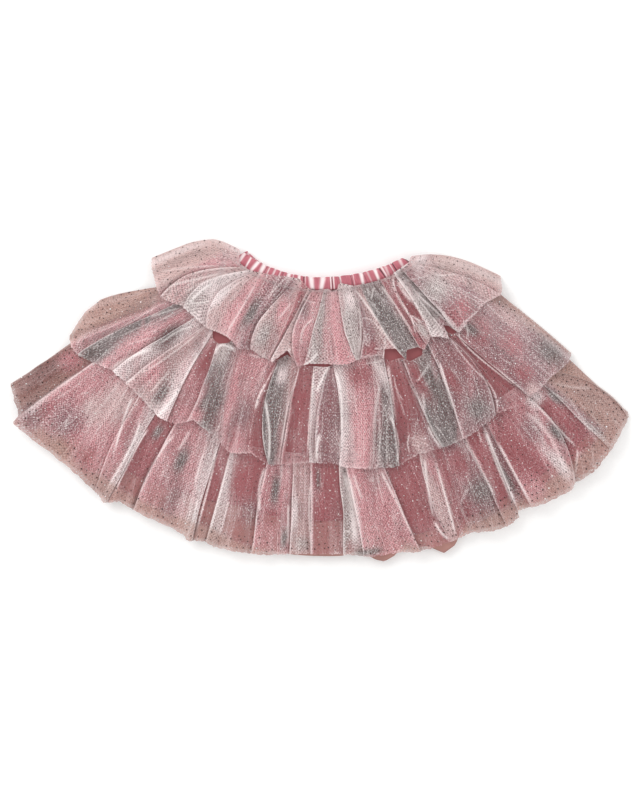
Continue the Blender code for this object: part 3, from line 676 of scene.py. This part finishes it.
def crease_at(creases, deg, reach):
    """How much of a bright crease, a painted highlight, there is at each point, from 0 to 1."""
    turn = np.radians(deg)
    points = np.stack([np.sin(turn) * reach, np.cos(turn) * reach], axis=-1)
    total = np.zeros(len(points))
    for crease in creases:
        start, middle, end = (np.array(spot, dtype=float) for spot in crease[:3])
        pull = 2 * middle - (start + end) / 2
        share = np.linspace(0, 1, CREASE_LEGS + 1)[:, None]
        curve = start * (1 - share) ** 2 + 2 * pull * share * (1 - share) + end * share**2
        low, high = curve.min(axis=0) - 4 * crease.width, curve.max(axis=0) + 4 * crease.width
        near = np.flatnonzero(((points > low) & (points < high)).all(axis=1))
        for step in range(CREASE_LEGS):
            leg = curve[step + 1] - curve[step]
            along = ((points[near] - curve[step]) @ leg / (leg @ leg)).clip(0, 1)
            gap = np.linalg.norm(points[near] - curve[step] - along[:, None] * leg, axis=1)
            run = (step + along) / CREASE_LEGS
            fade = smooth(run / CREASE_TAPER) * smooth((1 - run) / CREASE_TAPER)
            amount = crease.bright * fade * np.exp(-((gap / crease.width) ** 2))
            total[near] = np.maximum(total[near], amount)
    return total


def back_lift(tier, share):
    """How far the back of a tier hangs above the surface, between its seam and its hem."""
    low, high = BACK_DOWN
    return tier.seam_lift * (1 - smooth((share - low) / (high - low)))


def from_side(tier, hem_deg):
    """How many degrees a place lies in from the nearer side of its tier."""
    return np.minimum(hem_deg - tier.folds[0].hem_deg, tier.folds[-1].hem_deg - hem_deg)


def front_height(tier, hem_deg, share):
    """The height of a front tier's troughs: on the slip, and down to the back tier at the sides."""
    inner = FRONT_SEAM_Z + tier.hem_lift * smooth(share / HEM_LIFT_RUN)
    side = back_lift(tier, share) + TULLE_WALL + SEAM_GAP + tier.side_clear * share
    if not tier.seam_lift:
        side = blend(inner, side, smooth(share / BACK_DOWN[1]))
    return blend(side, inner, smooth(from_side(tier, hem_deg) / tier.fall_deg))


def back_folds(folds):
    """The back's gathers, more even, in the front's dyes from right to left."""
    made = []
    for wave in range(BACK_WAVES + 1):
        uneven = 0.012 * math.sin(2.4 * wave) if 0 < wave < BACK_WAVES else 0.0
        share = wave / BACK_WAVES + uneven
        seam_deg = blend(folds[0].seam_deg, folds[-1].seam_deg, share)
        hem_deg = blend(folds[0].hem_deg, folds[-1].hem_deg, share)
        like = folds[round((1 - share) * (len(folds) - 2))]
        lean = 0.12 * (1 if wave % 3 else -1) if 1 < wave < BACK_WAVES - 2 else 0.0
        cover = blend(like.cover, 0.7, 0.4)
        made.append(Fold(seam_deg, hem_deg, 0.0, BACK_RISE, lean, like.dye, cover))
    return made


def keep_on_points(mesh, name, values):
    """Keeps one value or one colour for each point of a mesh, for its material to read."""
    if values.ndim == 1:
        mesh.attributes.new(name, "FLOAT", "POINT").data.foreach_set("value", values.astype(np.float32))
        return
    colours = np.hstack([values, np.ones((len(values), 1))]).astype(np.float32)
    mesh.color_attributes.new(name, "FLOAT_COLOR", "POINT").data.foreach_set("color", colours.ravel())


def tulle_sheet(name, tier, side):
    """One side of a tier, laid fold over fold, with its dye, its painted highlights and its net's density
    on its points.
    """
    back = side == "back"
    folds = back_folds(tier.folds) if back else tier.folds
    heading = tier.back_heading if back else tier.heading
    per_wave = BACK_COLUMNS_PER_WAVE if back else COLUMNS_PER_WAVE
    waves = len(folds) - 1
    seed = sum(ord(letter) for letter in name + side)
    lines = np.arange(waves + 1)
    seam_degs, hem_degs, bows, rise, lean = np.array([fold[:5] for fold in folds], dtype=float).T
    over = np.concatenate([[0.0], np.maximum(lean[:-1], 0.0)])
    under = np.maximum(-lean, 0.0)
    under[-1] = 0.0
    seen = {}

    def place(column, share):
        wave = np.minimum(column // per_wave, waves - 1)
        across = column / per_wave - wave
        # A fold lies open at the seam, is fullest a third of the way down, and eases at the hem
        fullness = smooth(share / FOLD_FULL_AT) * (1 - FOLD_EASE * share)
        fullness = fullness * (0.8 + 0.3 * waver(wave * 0.37, share, seed))
        start = wave + (under - over)[wave] * fullness
        after = wave + 1 + (under - over)[wave + 1] * fullness
        right = np.sign(lean[wave])
        crest = 0.5 + FOLD_CREST * right + np.where(right == 0, 0.12 * np.sin(wave * 2.1), 0.0)
        width = after - start
        push_right = (wave + 1 - start) - crest * width
        push_left = (after - wave) - (1 - crest) * width
        push = np.where(right > 0, push_right, np.where(right < 0, -push_left, 0.0))
        on = start + width * across + push * bump(across, crest)
        on = on + 0.07 * waver(on * 0.5, share * 0.9, seed + 1) * np.sin(np.pi * share)
        on = np.clip(on, 0, waves)
        seam_deg = np.interp(on, lines, seam_degs)
        hem_deg = np.interp(on, lines, hem_degs)
        towards_side = 2 * on / waves - 1
        full_flare = np.where(towards_side < 0, tier.left_flare, tier.right_flare)
        flare = 1 + (full_flare - 1) * np.abs(towards_side) ** FLARE_FADE
        deg = blend(seam_deg, hem_deg, 1 - (1 - share) ** flare)
        deg = deg + np.interp(on, lines, bows) * 4 * share * (1 - share)
        seam_reach = edge_at(heading, seam_deg)
        hem_reach = edge_at(tier.hem, hem_deg) - (BACK_HEM_INSET if back else 0.0)
        jag = JAG_MM * waver(on * 7, 0 * share, seed + 2)
        reach = blend(seam_reach, hem_reach + jag, share)
        spread = blend(np.diff(seam_degs)[wave], np.diff(hem_degs)[wave], share)
        steepest = STEEPEST * np.radians(spread) * reach
        full = np.minimum(rise[wave] * blend(SEAM_SWELL, 1.0, share), steepest)
        seam_mm = np.radians(seam_deg) * seam_reach
        gather_wander = 3 * waver(seam_mm / 30, 0, seed + 3)
        gather = 0.5 + 0.5 * np.sin(seam_mm * 2 * np.pi / GATHER_PITCH_MM + gather_wander)
        drop = reach - seam_reach
        bright = 0 * share
        if back:
            ground = back_lift(tier, share)
            full = full * (1 - ground / BACK_SEAM_LIFT) * smooth(from_side(tier, hem_deg) / BACK_FALL_DEG)
            fine = full * smooth((across - 0.3) / 0.35) * smooth((1 - across) / 0.3)
        else:
            lapped = waist_at(deg) + BAND_EDGE - reach
            ground = front_height(tier, hem_deg, share) + BAND_LAP_RISE * smooth((lapped + 2.5) / 4)
            hump = bump(across, np.clip(crest - FOLD_LAG * right, 0.15, 0.85))
            crease = CREASE_HEIGHT * (1 + waver(on * 1.6, share * 0.8, seed + 4))
            crease = crease * np.sin(np.pi * np.clip(share, 0.05, 1)) ** 0.5
            bright = crease_at(tier.creases, deg, reach)
            fine = hump * (full + crease) + GATHER_HEIGHT * gather * np.exp(-drop / GATHER_RUN_MM)
            fine = fine + BRIGHT_CREASE_RISE * bright
        seen.update(
            wave=wave, across=across, share=share, deg=deg, reach=reach, drop=drop, gather=gather,
            right=right, crest=crest, rest=hem_reach - reach, bright=bright,
        )
        return deg, reach, ground + TULLE_HALF_WALL + fine

    rows = BACK_ROWS if back else ROWS
    made, grid = lay_cloth(f"{name}_{side}_tulle", waves * per_wave, rows, place)
    dye, cover, line, gleam = tulle_tone(tier, folds, seen, over + under, seed, back)
    normal = read_points(made.data.vertices, "normal", 3)
    steep = np.clip(1 / np.maximum(np.abs(normal[:, 2]), 0.25), 1, 4)
    cover = 1 - (1 - np.clip(cover, 0, 0.96)) ** steep
    # Where the cloth stands steep its net covers more, and its colour is painted paler, a painted
    # highlight
    steep_highlight = np.clip((steep - 1.04) / 1.2, 0, 1)[:, None] * 0.4
    keep_on_points(made.data, "dye", blend(dye, np.array(linear(DYES["white"].colour)), steep_highlight))
    keep_on_points(made.data, "cover", blend(cover, 1.3, line))
    keep_on_points(made.data, "gleam", gleam)
    return made, grid


def tulle_tone(tier, folds, seen, tucked, seed, back):
    """Each point's colour, cover and gleam, from its fold's bath and those that have run into it, with
    painted highlights along its turned edges, its creases and its cut hem.
    """

    def bath(dye, cover):
        return np.array([*linear(DYES[dye].colour), cover, DYES[dye].gleam])

    def run_in(look, dye, cover, amount):
        return look + (bath(dye, cover) - look) * np.broadcast_to(amount, wave.shape)[:, None]

    baths = np.array([bath(fold.dye, fold.cover) for fold in folds])
    wave, across, share = seen["wave"], seen["across"], seen["share"]
    look = baths[wave]
    for step, nearness in ((-1, across), (1, 1 - across)):
        beside = np.clip(wave + step, 0, len(folds) - 2)
        soft = np.where(tucked[wave + (step > 0)] > 0, 0.2, 0.5) * (1 - smooth(nearness / NEIGHBOUR_RUN))
        look = look + (baths[beside] - look) * soft[:, None]
    # The baths run unevenly down the cloth: pink, then grey, then nearly undyed
    deg, reach = seen["deg"], seen["reach"]
    across_mm = np.radians(deg) * reach
    for step, dye, most in ((6, "pink", 0.45), (7, "grey", 0.32), (8, "white", 0.3)):
        run = waver(across_mm / 26, reach / 85, seed + step)
        amount = most * smooth(run - 0.1) * smooth(look[:, 3] / 0.6)
        look = run_in(look, dye, 0.7, amount)
    # Past the slip there is only net, painted darker there, in part as painted shade
    left, right = tier.lined
    outside_mm = np.maximum(left - deg, deg - right) * np.radians(1) * reach
    below_mm = reach - edge_at(SLIP_BACK_HEM, deg)
    bare = smooth((np.maximum(outside_mm, below_mm) + MARGIN_SOFT_MM) / (2 * MARGIN_SOFT_MM))
    look = run_in(look, tier.margin, 0.92, 0.85 * bare)
    warp = waver(deg / 14, reach / 60, seed + 5)
    for patch in () if back else tier.patches:
        aside = np.radians(deg - patch.deg) * reach / patch.across + 0.2 * warp
        down = (reach - patch.reach) / patch.along
        amount = np.exp(-(np.abs(aside) ** 3.5) - np.abs(down) ** 2.6)
        look = run_in(look, patch.dye, patch.cover, amount)
    uneven = 0.07 * waver(across_mm / 17, reach / 90, seed + 9)
    look[:, 3] = np.clip(look[:, 3] + tier.denser + uneven, LEAST_COVER, MOST_COVER)
    # The heading is drawn up tight, so it is denser and paler
    tight = np.exp(-seen["drop"] / TIGHT_RUN_MM) * (0.5 + 0.5 * seen["gather"])
    look = run_in(look, "blush", 0.88, 0.45 * tight)
    # Where the cloth turns back on itself one looks along the net, which covers more there, and sees a
    # thin white line, painted into its colour as a painted highlight; flat creases and the cut hem get
    # fainter painted highlights
    turned = np.abs(seen["right"]) * np.exp(-(((across - seen["crest"]) / TURN_WIDTH) ** 2))
    turned = turned * (0.5 + 0.3 * waver(wave * 1.7, share * 2.2, seed + 10)) * smooth(share / 0.1)
    pressed = np.exp(-((np.minimum(across, 1 - across) / PRESSED_WIDTH) ** 2))
    pressed = pressed * 0.3 * smooth(0.4 + waver(wave * 0.9, share * 1.6, seed + 11))
    cut = 0.5 * np.exp(-np.maximum(seen["rest"], 0) / CUT_WIDTH_MM)
    cut = cut * smooth(0.5 + waver(across_mm / 30, 0, seed + 12))
    line = np.maximum.reduce([turned, pressed, cut, seen["bright"]]).clip(0, 1)
    line = line * (0.6 if back else 1.0) * (1 - 0.45 * bare)
    # The lines are painted highlights: the colour is blended towards white along them
    dye = blend(look[:, :3], np.array(linear(CREASE_HIGHLIGHT)), 0.9 * line[:, None])
    return dye, look[:, 3], line, look[:, 4] * (1 - 0.75 * line)


def tulle_finish():
    """Nylon tulle: a fine net of thread, its holes left open to what is below. The net, its stray
    bright threads and the streaks of the dye bath run with the cloth, so they follow its UV map."""
    tree, shader, made = new_finish("nylon tulle, space-dyed")
    cloth = add_node(tree, "UVMap", {"uv_map": "cloth"})
    dye = add_node(tree, "Attribute", {"attribute_name": "dye"}).outputs["Color"]
    cover = add_node(tree, "Attribute", {"attribute_name": "cover"}).outputs["Fac"]
    gleam = add_node(tree, "Attribute", {"attribute_name": "gleam"}).outputs["Fac"]

    # Two slanting sets of threads make the net's rows of holes
    threads = []
    for lean in (NET_LEAN_DEG, -NET_LEAN_DEG):
        turned = add_node(tree, "Mapping", Vector=cloth, Rotation=(0, 0, math.radians(lean)))
        bands = add_node(
            tree,
            "TexWave",
            {"wave_type": "BANDS", "bands_direction": "X"},
            Vector=turned,
            Scale=WAVE_PERIOD / (NET_PITCH_MM * MM),
            Distortion=0.9,
            Detail=1.0,
            Detail_Scale=1.2,
        )
        threads.append(bands.outputs["Fac"])
    net = add_node(tree, "Math", {"operation": "MAXIMUM"}, _0=threads[0], _1=threads[1])
    clouds = []
    sizes = (GRAIN_MM, GLINT_FLECK_MM, STREAK_MM, BLOT_MM, STRAY_MM)
    for size, detail in zip(sizes, (1.0, 0.0, 2.0, 4.0, 1.0)):
        run = add_node(tree, "Mapping", Vector=cloth, Scale=per_mm(*size))
        clouds.append(add_node(tree, "TexNoise", Vector=run, Scale=1.0, Detail=detail, Roughness=0.6))
    grain, glint_fleck, streak, blot, stray = clouds
    stray = add_node(tree, "Math", {"operation": "SUBTRACT"}, _0=stray, _1=0.5)
    stray = add_node(tree, "Math", {"operation": "ABSOLUTE"}, _0=stray)

    # The dye shows grey blots, pale streaks and white stray threads; the holes are darkened with painted
    # shade, and the flecks are painted glints. Each has its pattern, the pattern's range, the strength
    # that this stands for, whether it follows the gleam, and its colour
    colour = dye
    marks = []
    for pattern, low, high, least, most, gleams, tint in (
        (net, 0.25, 0.75, 0.42, 0.0, True, HOLE_SHADE),
        (blot, 0.5, 0.72, 0.0, 0.3, False, DYES["grey"].colour),
        (streak, 0.48, 0.75, 0.0, 0.3, True, DYES["white"].colour),
        (stray, 0.004, 0.016, 0.4, 0.0, True, THREAD_WHITE),
        (glint_fleck, 0.56, 0.68, 0.0, 0.54, True, GLINT_FLECK_WHITE),
    ):
        mark = add_node(tree, "MapRange", Value=pattern, _1=low, _2=high, _3=least, _4=most)
        if gleams:
            mark = add_node(tree, "Math", {"operation": "MULTIPLY"}, _0=mark, _1=gleam)
        mixed = add_node(tree, "Mix", {"data_type": "RGBA"}, Factor=mark, _6=colour, _7=linear(tint))
        colour = mixed.outputs[2]
        marks.append(mark)

    # The net covers more on its threads, along its grain and in its streaks, and where it is marked
    alpha = cover
    for pattern, low, high, least, most in (
        (net, 0.25, 0.9, 0.68, 1.24),
        (grain, 0.36, 0.64, 0.62, 1.34),
        (streak, 0.3, 0.7, 0.8, 1.18),
    ):
        gain = add_node(tree, "MapRange", Value=pattern, _1=low, _2=high, _3=least, _4=most)
        alpha = add_node(tree, "Math", {"operation": "MULTIPLY"}, _0=alpha, _1=gain)
    marked = add_node(tree, "Math", {"operation": "ADD", "use_clamp": True}, _0=marks[3], _1=marks[4])
    marked = add_node(tree, "Math", {"operation": "MULTIPLY"}, _0=marked, _1=0.3)
    alpha = add_node(tree, "Math", {"operation": "ADD", "use_clamp": True}, _0=alpha, _1=marked)
    relief = add_node(tree, "Bump", Height=grain, Strength=0.35, Distance=0.0004)
    feed(shader, Base_Color=colour, Alpha=alpha, Normal=relief, Roughness=0.75, IOR=1.53)
    feed(shader, Specular_IOR_Level=0.25, Sheen_Weight=0.2)
    return made


def glitter_finish():
    """Polyester film glitter, silvered and die-cut: a little metallic, and each dot painted bright or
    dark, a painted reflection.
    """
    tree, shader, made = new_finish("silvered polyester glitter")
    painted_reflection = add_node(tree, "Attribute", {"attribute_name": "painted_reflection"})
    place = add_node(tree, "TexCoord").outputs["Object"]
    grain = add_node(tree, "TexNoise", Vector=place, Scale=900.0).outputs["Color"]
    settings = {"data_type": "RGBA", "blend_type": "MULTIPLY"}
    tone = add_node(tree, "Mix", settings, Factor=0.3, _6=painted_reflection, _7=grain)
    feed(shader, Base_Color=tone.outputs[2], Metallic=0.4, Roughness=0.35)
    return made


def scatter_glitter(name, tier, grid, seed):
    """Glitter dots in staggered rows over a sheet, each a six-sided disc, a little tilted. Each is
    painted
    dark or bright, a painted reflection: over the slip some dark and some bright; past it they are
    larger, and most are painted dark."""
    draw = np.random.default_rng(seed)
    rows, columns = grid.shape[0] - 1, grid.shape[1] - 1
    across, along = (length / MM for length in cloth_lengths(grid))
    bm = bmesh.new()
    painted_reflections = []
    line_gap = GLITTER_PITCH_MM * STAGGERED
    for line in range(int(along[-1] / line_gap)):
        shift = GLITTER_PITCH_MM / 2 * (line % 2)
        for spot in range(int(across[-1] / GLITTER_PITCH_MM)):
            slip = draw.uniform(-GLITTER_SLIP_MM, GLITTER_SLIP_MM, 2)
            tilt = draw.uniform(-GLITTER_TILT, GLITTER_TILT, 2)
            bright = draw.uniform()
            at = GLITTER_SIDE_MM + shift + spot * GLITTER_PITCH_MM + slip[0]
            column = np.interp(at, across, range(columns + 1))
            row = np.interp(GLITTER_TOP_MM + line * line_gap + slip[1], along, range(rows + 1))
            c, r = min(int(column), columns - 1), min(int(row), rows - 1)
            right = grid[r, c + 1] - grid[r, c]
            down = grid[r + 1, c] - grid[r, c]
            up = np.cross(down, right)
            up = up / np.linalg.norm(up)
            centre = grid[r, c] + right * (column - c) + down * (row - r) + up * GLITTER_CLEAR_MM * MM
            facing = Vector(up).to_track_quat("Z", "Y").to_matrix().to_4x4()
            turn = Euler((tilt[0], tilt[1], bright * 3)).to_matrix().to_4x4()
            flat = Vector((centre[0] - FAN_X, FAN_Y - centre[1]))
            deg = math.degrees(math.atan2(flat.x, flat.y))
            bare = not tier.lined[0] < deg < tier.lined[1] or flat.length > LINED_REACH * MM
            # Each dot is painted dark or bright, a painted reflection
            dark = bright < (BARE_DARK_DOTS if bare else tier.dark_dots)
            painted_reflections.append(linear(GLITTER_DARK_REFLECTION if dark else GLITTER_GLINT))
            size = GLITTER_RADIUS_MM * (1.0 if bare else LINED_DOT_SIZE) * draw.uniform(*DOT_SIZES) * MM
            where = Matrix.Translation(centre) @ facing @ turn
            bmesh.ops.create_circle(bm, cap_ends=True, segments=DOT_SIDES, radius=size, matrix=where)
    mesh = bpy.data.meshes.new(name)
    bm.to_mesh(mesh)
    bm.free()
    keep_on_points(mesh, "painted_reflection", np.repeat(np.array(painted_reflections), DOT_SIDES, axis=0))
    return show(name, mesh)


tulle = tulle_finish()
silver = glitter_finish()
for name, tier in TIERS.items():
    for side in ("back", "front"):
        sheet, grid = tulle_sheet(name, tier, side)
        sheet.data.materials.append(tulle)
        glitter = scatter_glitter(f"{name}_{side}_glitter", tier, grid, len(name + side) + len(grid))
        glitter.data.materials.append(silver)
        for piece in (sheet, glitter):
            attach(piece, "root")
        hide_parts(f"{name}_{side}")

# ---------------------------------------------------------------------------------------------------
# The waistband: a casing of pink satin over wide elastic, which draws it up into short, uneven
# gathers. Polyester satin has a strong gloss, so the flank of each gather flashes nearly white and
# its valley goes deep rose; both are painted into its colour, as painted highlights and painted
# shade. Its two halves lie on each other, closed at both ends of the waist.

BAND_HALF_WIDTH = 7.0
BAND_HALF_THICK = 3.0
BAND_BACK_Z = 4.15
BAND_FRONT_Z = 11.55
BACK_BAND_PEEK = 3.4
BAND_COLUMNS = 620
BAND_RING = 28
SATIN_PINK = "#D9808C"
SATIN_DEEP_SHADE = "#8E3A48"
SATIN_FLASH = "#F6E6E6"
SATIN_CREASE_SHADE = "#4A2129"
GATHER_STREAK_MM = (1.6, 12.0)
BAND_END_LAP_DEG = 0.9
BAND_CLOSE_COLUMNS = 6
PEEK_RUN = 0.12

# The valleys and flashes between the gathers, from left to right: the angle at the band's upper and
# at its lower edge, the width in degrees, and whether the satin gets a painted highlight where it
# flashes (above 0) or painted shade where it falls into a dark crease (below 0) there
Gather = namedtuple("Gather", "top foot width shine")
GATHERS = list(starmap(Gather, [
    (-49, -47.3, 1.3, 0.9), (-44.6, -42.9, 0.8, 0.9), (-39.6, -39.8, 1.5, 1),
    (-35.7, -34.8, 1.7, 1), (-33.6, -33, 0.4, -0.6), (-32.1, -31.3, 0.6, 0.6),
    (-28.5, -28.3, 0.9, 0.6), (-25, -24.9, 0.6, 0.6), (-23.1, -22.6, 0.4, -0.6),
    (-19.6, -19.6, 1.6, 1), (-16.8, -16.6, 0.5, 0.5), (-13.2, -12.1, 1.2, 1),
    (-10.2, -8.9, 0.5, -0.95), (-9.3, -8, 0.4, 0.6), (-5.8, -4, 2.2, 1), (2, 0.7, 2.2, 1),
    (6.8, 6.4, 0.6, 1), (7.7, 7.3, 0.4, -0.9), (8.6, 8.1, 0.6, 0.9), (12, 13.2, 0.4, -0.5),
    (12.6, 12.4, 0.7, 0.8), (19.4, 18.6, 0.5, -0.6), (20.8, 19.6, 0.4, 0.5), (25.6, 24.1, 1.5, 1),
    (27, 26.4, 0.4, -0.4), (29.3, 28.9, 0.8, 0.4), (33.8, 32.5, 1.3, 1), (36.4, 36.2, 0.5, -1),
    (37.7, 37, 0.8, 0.8), (39.7, 38, 1, 0.45), (42.3, 41.1, 0.5, 0.6), (43.7, 42.5, 0.45, -1),
    (47.8, 45.8, 1.1, 0.6), (50.3, 50.2, 0.9, -0.8),
]))


def gather_at(deg, down, kind):
    """How much painted highlight, where the satin flashes (kind 1), or painted shade, in a dark crease
    (kind -1), there is at an angle and a place between the band's upper edge (0) and its lower one (1)."""
    total = 0.0 * deg
    for gather in GATHERS:
        if gather.shine * kind > 0:
            away = deg - blend(gather.top, gather.foot, down)
            near = np.exp(-(np.abs(away) / (gather.width * blend(0.75, 0.5, down))) ** 3)
            total = np.maximum(total, abs(gather.shine) * near)
    return total


def band_half(name, height, peek, mirror):
    """One half of the casing: a flat tube whose skin rises and falls with the gathers."""
    seen = {}

    def place(column, share):
        across = column / BAND_COLUMNS
        deg = blend(BAND_LEFT_DEG - BAND_END_LAP_DEG, BAND_RIGHT_DEG, across)
        round_angle = -2 * np.pi * share
        down = (1 + np.cos(round_angle)) / 2
        pattern = -deg if mirror else deg
        flash, dark = gather_at(pattern, down, 1), gather_at(pattern, down, -1)
        swell = 1 - 0.55 * np.maximum(flash, dark) + 0.12 * waver(across * 30, share * 2, 62)
        half_width = BAND_HALF_WIDTH * (0.84 + 0.16 * swell) + 0.25 * waver(across * 24, 0, 63)
        half_thick = BAND_HALF_THICK * (0.62 + 0.38 * swell)
        middle = waist_at(deg) - peek * np.maximum(0, 1 - across / PEEK_RUN)
        # A casing pressed flat: rounder at its edges than in its middle
        flatness = np.sign(np.sin(round_angle)) * np.abs(np.sin(round_angle)) ** 0.7
        end = np.minimum(across, 1 - across) * BAND_COLUMNS
        close = np.clip(end / BAND_CLOSE_COLUMNS, 0, 1) ** 0.5
        seen.update(flash=flash, dark=dark)
        reach = middle + half_width * np.cos(round_angle) * close
        return deg, reach, height + half_thick * flatness * close

    made, _ = lay_cloth(name, BAND_COLUMNS, BAND_RING, place)
    # The painted highlights and the painted crease shade, kept for the satin's colour
    keep_on_points(made.data, "shine", seen["flash"])
    keep_on_points(made.data, "crease", seen["dark"])
    return made


def band_finish():
    """Polyester satin, drawn up: painted deep rose shade streaked with pink, painted highlights nearly
    white on its flashes, and painted shade in its dark creases.
    """
    tree, shader, made = new_finish("polyester satin, pink")
    cloth = add_node(tree, "UVMap", {"uv_map": "cloth"})
    shine = add_node(tree, "Attribute", {"attribute_name": "shine"}).outputs["Fac"]
    crease = add_node(tree, "Attribute", {"attribute_name": "crease"}).outputs["Fac"]
    run = add_node(tree, "Mapping", Vector=cloth, Scale=per_mm(*GATHER_STREAK_MM))
    streak = add_node(tree, "TexNoise", Vector=run, Scale=1.0, Detail=2.0)
    # Painted shade and highlights: deep rose shade streaked with pink, then white flashes and dark
    # creases
    tone = linear(SATIN_DEEP_SHADE)
    for share, colour in ((streak, SATIN_PINK), (shine, SATIN_FLASH), (crease, SATIN_CREASE_SHADE)):
        mixed = add_node(tree, "Mix", {"data_type": "RGBA"}, Factor=share, _6=tone, _7=linear(colour))
        tone = mixed.outputs[2]
    relief = add_node(tree, "Bump", Height=streak, Strength=0.35, Distance=0.0004)
    feed(shader, Base_Color=tone, Normal=relief, Roughness=0.3, IOR=1.55, Sheen_Weight=0.1)
    return made


satin = band_finish()
for side, height, peek in (("back", BAND_BACK_Z, BACK_BAND_PEEK), ("front", BAND_FRONT_Z, 0.0)):
    band = band_half("waistband_satin_" + side, height, peek, side == "back")
    band.data.materials.append(satin)
    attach(band, "root")
    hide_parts("waistband_" + side)

# ---------------------------------------------------------------------------------------------------
# The plain pale surface that the skirt lies on, two soft lights, and a camera straight above, as one
# holds it over a garment laid out on a table.

FLOOR_SIZE = 6.0
FLOOR_DROP = 0.0004
CARD_LIGHT = "#F8F8F7"
CARD_SHADE = "#F4F3F2"
CARD_GLOW = 0.12
STUDIO_GLOW = 0.75
WHITE = (1.0, 1.0, 1.0)
CAMERA_LENS = 85.0
CAMERA_AT = (0.00106, -0.00127, 1.993)

bm = bmesh.new()
bmesh.ops.create_grid(bm, x_segments=1, y_segments=1, size=FLOOR_SIZE / 2)
bmesh.ops.translate(bm, verts=bm.verts, vec=(0.0, 0.0, -FLOOR_DROP))
floor_mesh = bpy.data.meshes.new("floor")
bm.to_mesh(floor_mesh)
bm.free()
floor = show("floor", floor_mesh)
tree, shader, paper = new_finish("matt white card")
fibre = add_node(tree, "TexNoise", Vector=add_node(tree, "TexCoord").outputs["Object"], Scale=300.0)
card = add_node(
    tree, "Mix", {"data_type": "RGBA"}, Factor=fibre, _6=linear(CARD_SHADE), _7=linear(CARD_LIGHT)
)
feed(shader, Base_Color=card.outputs[2], Emission_Color=WHITE, Emission_Strength=CARD_GLOW)
feed(shader, Roughness=0.9, Specular_IOR_Level=0.1)
floor.data.materials.append(paper)

world = bpy.data.worlds.new("studio")
world.use_nodes = True
feed(world.node_tree.nodes["Background"], Color=WHITE, Strength=STUDIO_GLOW)
bpy.context.scene.world = world

for lamp_name, place, size, power in (
    ("window side", (-1.1, 1.0, 1.3), 1.2, 17.0),
    ("fill side", (1.4, -0.6, 1.6), 1.6, 9.0),
):
    lamp = bpy.data.lights.new(lamp_name, "AREA")
    lamp.size = size
    lamp.energy = power
    stand = show(lamp_name, lamp)
    stand.location = place
    stand.rotation_euler = Vector(place).to_track_quat("Z", "Y").to_euler()

camera = bpy.data.cameras.new("camera")
camera.lens = CAMERA_LENS
camera.clip_end = 10.0
holder = show("camera", camera)
holder.location = CAMERA_AT
bpy.context.scene.camera = holder
bpy.context.scene.view_settings.view_transform = "Standard"
bpy.context.scene.cycles.transparent_max_bounces = 40

bpy.context.view_layer.update()
